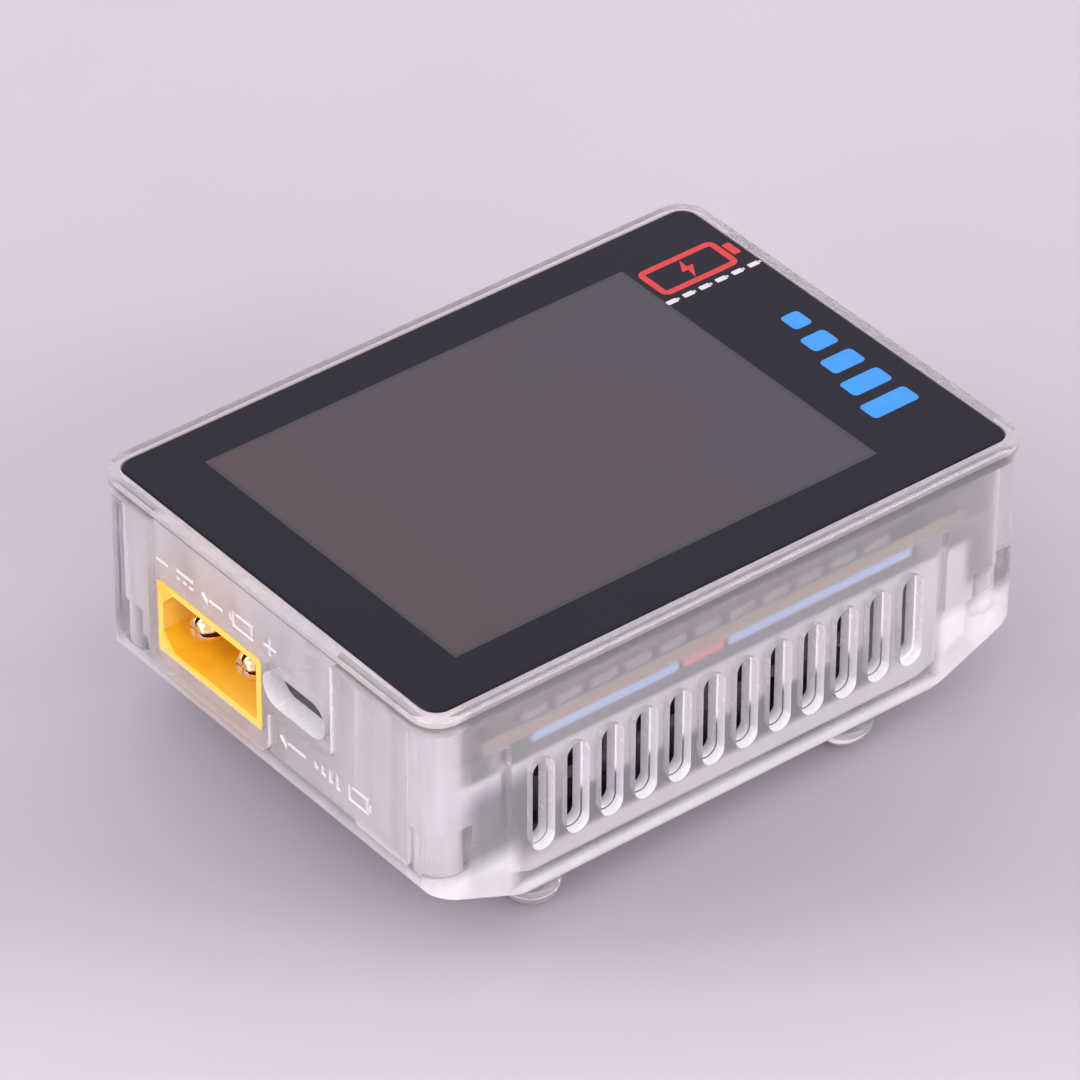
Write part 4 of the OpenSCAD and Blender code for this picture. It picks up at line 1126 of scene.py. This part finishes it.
def build_port_shade_sheet():
    """A thin black frame that closes the gap between the port's shell and its window, a dark sheet put
    there as painted shade so the port's mouth reads dark.
    """
    size = (PORT_WINDOW[0] + 0.6, PORT_WINDOW[1] + 0.25)
    outline = rect(*size, 0.6, (PORT_Y, PORT_WINDOW_Z - 0.1))
    # Painted shade: a black sheet inside the port window.
    shade_sheet = as_object("port_shade_sheet", prism(outline, PORT_LOW.x + 0.02, PORT_LOW.x + 0.35, "X"))
    hole = stadium(PORT_HIGH.y - PORT_LOW.y - 0.1, PORT_HIGH.z - PORT_LOW.z - 0.1, (PORT_Y, PORT_Z))
    cut(shade_sheet, prism(hole, PORT_LOW.x - 1, PORT_LOW.x + 1, "X"))
    piece(shade_sheet, "black_nylon")


# ---- feet, screws, fan, wires


def build_feet():
    shape = bmesh.new()
    x_low, x_high = FEET_LOW.x + FOOT_RADIUS, FEET_HIGH.x - FOOT_RADIUS
    y_out = FEET_HIGH.y - FOOT_RADIUS
    flat, radius, height = 1.2, FOOT_RADIUS - 0.02, FLOOR_Z - 0.03
    middle = (radius**2 + height**2 - flat**2) / (2 * height)
    dome = math.hypot(flat, middle)
    profile = [(flat * 0.55, 0.0)]
    for k in range(13):
        z = height * (k / 12) ** 1.4
        profile.append((math.sqrt(max(dome**2 - (middle - z) ** 2, 0.01)), z + 0.001))
    for x in (x_low, x_high):
        for side in (-1, 1):
            lathe(profile, "Z", (x, side * y_out), 48, shape)
    feet = as_object("clear_feet", shape)
    for polygon in feet.data.polygons:
        polygon.use_smooth = len(polygon.vertices) == 4
    piece(feet, "clear_rubber", ["feet"])


def thread(centre, low, high, radius, depth, pitch, shape):
    """A threaded rod: rings of points whose radius follows the helix, with a pointed end."""
    around, per_turn = 20, 8
    rings = int((high - low) / pitch * per_turn)
    loops = []
    for i in range(rings + 1):
        z = low + (high - low) * i / rings
        taper = min(1.0, (high - z) / 0.8 * 0.7 + 0.3)
        loop = []
        for k in range(around):
            turn = k / around
            phase = (z / pitch - turn) % 1.0
            groove = depth * (0.5 + 0.5 * math.cos(2 * math.pi * phase)) ** 1.5
            reach = (radius - groove) * taper
            angle = 2 * math.pi * turn
            loop.append((centre[0] + reach * math.cos(angle), centre[1] + reach * math.sin(angle), z))
        loops.append(loop)
    stack(loops, shape)


def build_case_screws():
    shape = bmesh.new()
    head_low, head_high = HEAD_SEAT - 1.4, HEAD_SEAT
    for centre in POSTS:
        thread(centre, head_high - 0.2, SCREW_END, SCREW_RADIUS, 0.24, 0.7, shape)
    screws = as_object("case_screws_threaded", shape)
    heads = bmesh.new()
    for centre in POSTS:
        profile = [(HEAD_RADIUS - 0.5, head_low), (HEAD_RADIUS - 0.12, head_low + 0.25),
                   (HEAD_RADIUS, head_low + 0.7), (HEAD_RADIUS, head_high), (0.8, head_high + 0.02)]
        lathe(profile, "Z", centre, 32, heads)
    head = as_object("heads", heads)
    crosses = bmesh.new()
    for x, y in POSTS:
        prism(rect(2.2, 0.5, 0.1, (x, y), 2), head_low - 1, head_low + 0.7, "Z", crosses)
        prism(rect(0.5, 2.2, 0.1, (x, y), 2), head_low - 1, head_low + 0.7, "Z", crosses)
    cut(head, crosses)
    combine(screws, shape_of(head), "UNION")
    soften(screws, 0.05, 1, 45)
    piece(screws, "black_steel", ["case_screws"])


def build_impeller():
    """A cupped hub with seven curved, twisted blades."""
    hub, tip = 10.0, 18.1
    low, high = ROTOR_LOW.z, ROTOR_HIGH.z
    shape = bmesh.new()
    profile = [(1.0, low + 0.4), (1.0, low + 0.02), (hub - 0.8, low), (hub - 0.2, low + 0.2),
               (hub, low + 0.7), (hub, high), (hub - 0.88, high), (hub - 0.88, low + 0.9),
               (1.05, low + 0.9)]
    loops = [[(x, y, z) for x, y in circle(r, (FAN_X, FAN_Y), 64)] for r, z in profile]
    stack(loops + [loops[0]], shape, closed=False)
    bmesh.ops.remove_doubles(shape, verts=shape.verts, dist=1e-4)
    count, sections, chord = 7, 9, 12
    for blade in range(count):
        base = 2 * math.pi * blade / count
        loops = []
        for i in range(sections):
            share = i / (sections - 1)
            r = hub - 0.3 + (tip - hub + 0.3) * share
            span = math.radians(36 - 3 * share)
            lean = math.radians(9) * share**1.4
            rise = (high - low - 0.5) * (0.96 - 0.16 * share)
            top, bottom = [], []
            for k in range(chord + 1):
                f = k / chord
                angle = base + lean + span * (f - 0.5)
                z = low + 0.25 + rise * (f + 0.13 * math.sin(math.pi * f)) / 1.02
                thick = 0.2 + 0.32 * math.sin(math.pi * min(f * 0.9 + 0.08, 1.0)) * (1 - 0.35 * share)
                x, y = FAN_X + r * math.cos(angle), FAN_Y + r * math.sin(angle)
                top.append((x, y, min(z + thick / 2, high - 0.05)))
                bottom.append((x, y, max(z - thick / 2, low + 0.05)))
            loops.append(top + bottom[::-1])
        stack(loops, shape)
    rotor = soften(as_object("fan_rotor_blades", shape), 0.06, 2, 40)
    piece(rotor, "fan_plastic", ["fan_impeller"], ROTOR)


def build_fan_wires():
    plug_x, plug_y = -24.4, -12.6
    route = [(-21.6, -7, 10.9), (-22.2, -7.2, 10.9), (-22.8, -8, 10.7), (-24.2, -9.6, 10.9),
             (-25.2, -11.4, 12.2), (-25, -12.4, 14), (plug_x, plug_y, 15.2), (plug_x, plug_y, 16.4)]
    for name, side, cad, slot in (("red", -1, "fan_lead_red", "wire_red"),
                                  ("black", 1, "fan_lead_black", "wire_black")):
        points = smooth_route([(x - 0.35 * side, y + 0.65 * side, z) for x, y, z in route])
        wire = as_object(f"fan_wire_{name}", tube(points, 0.45))
        for polygon in wire.data.polygons:
            polygon.use_smooth = True
        piece(wire, f"{name}_wire", [cad])


def build_small_parts():
    """Rows of small ceramic parts along the board's edges, as a real board has."""
    bodies, ends = bmesh.new(), bmesh.new()
    places = []
    for k in range(18):
        x = -23.6 + 2.8 * k
        if abs(x - 7.0) > 3.6 and abs(x + 1.0) > 3.6:
            places.append((x, 19.4))
        places.append((x, -19.4 if k % 3 else -19.0))
    for x, y in places:
        low = BOARD_HIGH.z
        block((x - 0.45, y - 0.4, low + 0.03), (x + 0.45, y + 0.4, low + 0.55), bodies)
        for side in (-1, 1):
            a, b = sorted((x + side * 0.42, x + side * 0.8))
            block((a, y - 0.42, low), (b, y + 0.42, low + 0.58), ends)
    piece(soften(as_object("small_part_bodies", bodies), 0.05), "ceramic")
    piece(soften(as_object("small_part_ends", ends), 0.05), "tin")


# ---- carried-over CAD nodes

CAD_FINISH = {
    "glass_gasket": "rubber_gasket",
    "lcd_panel": "lcd",
    "backlight_tray": "tray_steel",
    "light_guide": "light_guide",
    "display_flex": "polyimide",
    "display_socket": "white_nylon",
    "touch_flex": "polyimide",
    "touch_socket": "black_nylon",
    "main_board": "circuit_board",
    "microcontroller": "chip_black",
    "driver_chips": "chip_black",
    "power_transistors": "chip_black",
    "board_capacitors": "grey_ceramic",
    "bulk_capacitors": "can",
    "power_inductors": "ferrite",
    "sense_resistors": "resistor",
    "red_fuse": "red_part",
    "buzzer": "black_nylon",
    "crystal": "tin",
    "heat_sink": "anodised",
    "heat_sink_screws": "steel",
    "edge_thermal_pads": "thermal_blue",
    "centre_thermal_pad": "thermal_blue",
    "fan_frame": "fan_plastic",
    "fan_stator": "copper_winding",
    "fan_bearing": "bronze",
    "fan_label": "fan_label",
    "fan_magnet": "magnet",
    "fan_shaft": "steel",
    "fan_screws": "black_steel",
    "fan_plug": "white_nylon",
    "fan_header": "white_nylon",
    "output_connector_housing": "yellow_nylon",
    "output_contact_sockets": "gold",
    "balance_port_housing": "white_nylon",
    "balance_port_pins": "tin",
    "type_c_shell": "port_steel",
    "type_c_core": "black_nylon",
}


# ---- stage, light and camera


def floor_material():
    """A pale satin table with a soft shade across it under the object, and a very faint mottle."""
    tree, shader = blank("pale_table")
    place = node(tree, "TexCoord").outputs["Object"]
    turned = node(tree, "Mapping", Vector=place,
                  Rotation=(0, 0, math.radians(-VIEW_AZIMUTH))).outputs["Vector"]
    away = mapped(tree, parts(tree, turned)["Y"], 0.0, 1.0, -0.09, 0.09)
    ramp = node(tree, "ValToRGB", Fac=away)
    stops = ramp.color_ramp.elements
    ramp.color_ramp.interpolation = "EASE"
    for share, level in FLOOR_SHADE_LEVELS:
        stops.new(share).color = tuple(level * c for c in FLOOR_TINT) + (1.0,)
    for spare in (-1, 0):
        stops.remove(stops[spare])
    cloud = noise(tree, coordinates(tree), 0.02, 4.0)
    soft = mixed(tree, mapped(tree, cloud, 0.0, 1.0), (0.97, 0.97, 0.97), (1.0, 1.0, 1.0))
    shade = mixed(tree, 1.0, ramp.outputs["Color"], soft, "MULTIPLY")
    fine = noise(tree, coordinates(tree), 1.5)
    fill(tree, shader, Base_Color=shade, Roughness=mapped(tree, fine, 0.34, 0.42))


VIEW_AZIMUTH = -38.635
VIEW_ELEVATION = 36.937
VIEW_ROLL = 0.174
CAMERA_OFFSET = Vector((-0.35851, -0.44491, 0.41907))
CAMERA_LENS = 254.14
FLOOR_TINT = (1.12, 1.0, 1.13)
# Painted light and shade on the table: its brightness at shares of the way across the view, darkest in a
# painted shade band about the object.
FLOOR_SHADE_LEVELS = ((0.04, 0.68), (0.12, 0.58), (0.2, 0.47), (0.35, 0.37), (0.5, 0.4), (0.6, 0.45),
                (0.95, 0.465))
WORLD_COLOUR = (0.98, 0.93, 1.0)
WORLD_STRENGTH = 1.0


def build_stage():
    floor = as_object("pale_table", prism(rect(6000, 6000), -20, 0))
    floor_material()
    set_materials(floor, "pale_table")


def area_light(name, place, size, watts):
    """A soft rectangular light that faces the object. Place and size are in metres."""
    lamp = bpy.data.lights.new(name, "AREA")
    lamp.shape = "RECTANGLE"
    lamp.size, lamp.size_y = size
    lamp.energy = watts
    made = bpy.data.objects.new(name, lamp)
    bpy.context.scene.collection.objects.link(made)
    made.location = place
    made.rotation_euler = (Vector((0, 0, 0.015)) - Vector(place)).to_track_quat("-Z", "Y").to_euler()


def build_light():
    world = bpy.data.worlds.new("studio")
    bpy.context.scene.world = world
    world.use_nodes = True
    background = world.node_tree.nodes["Background"]
    background.inputs["Color"].default_value = (*WORLD_COLOUR, 1.0)
    background.inputs["Strength"].default_value = WORLD_STRENGTH
    area_light("key", (-0.9, 0.55, 1.1), (0.7, 0.7), 5.0)
    area_light("front", (0.2, -1.3, 0.5), (1.5, 0.8), 15.0)
    area_light("end", (-1.35, -0.2, 0.5), (0.9, 0.8), 8.0)


def build_camera():
    camera = bpy.data.cameras.new("camera")
    camera.lens = CAMERA_LENS
    camera.sensor_width = 36.0
    camera.clip_start, camera.clip_end = 0.01, 50.0
    made = bpy.data.objects.new("camera", camera)
    bpy.context.scene.collection.objects.link(made)
    made.location = Vector((0, 0, TOP * MM)) + CAMERA_OFFSET
    azimuth, elevation = math.radians(VIEW_AZIMUTH), math.radians(VIEW_ELEVATION)
    turn = Matrix.Rotation(azimuth, 4, "Z") @ Matrix.Rotation(math.pi / 2 - elevation, 4, "X")
    made.rotation_euler = (turn @ Matrix.Rotation(math.radians(VIEW_ROLL), 4, "Z")).to_euler()
    bpy.context.scene.camera = made


# ---- everything together


def build():
    bpy.context.scene.view_settings.view_transform = "Standard"
    for name, finish in CAD_FINISH.items():
        dress(name, finish)
    build_lower_shell()
    build_upper_shell()
    build_cover_glass()
    build_marks()
    build_input_housing()
    build_input_pins()
    build_port_shade_sheet()
    build_feet()
    build_case_screws()
    build_impeller()
    build_fan_wires()
    build_small_parts()
    build_stage()
    build_light()
    build_camera()


build()
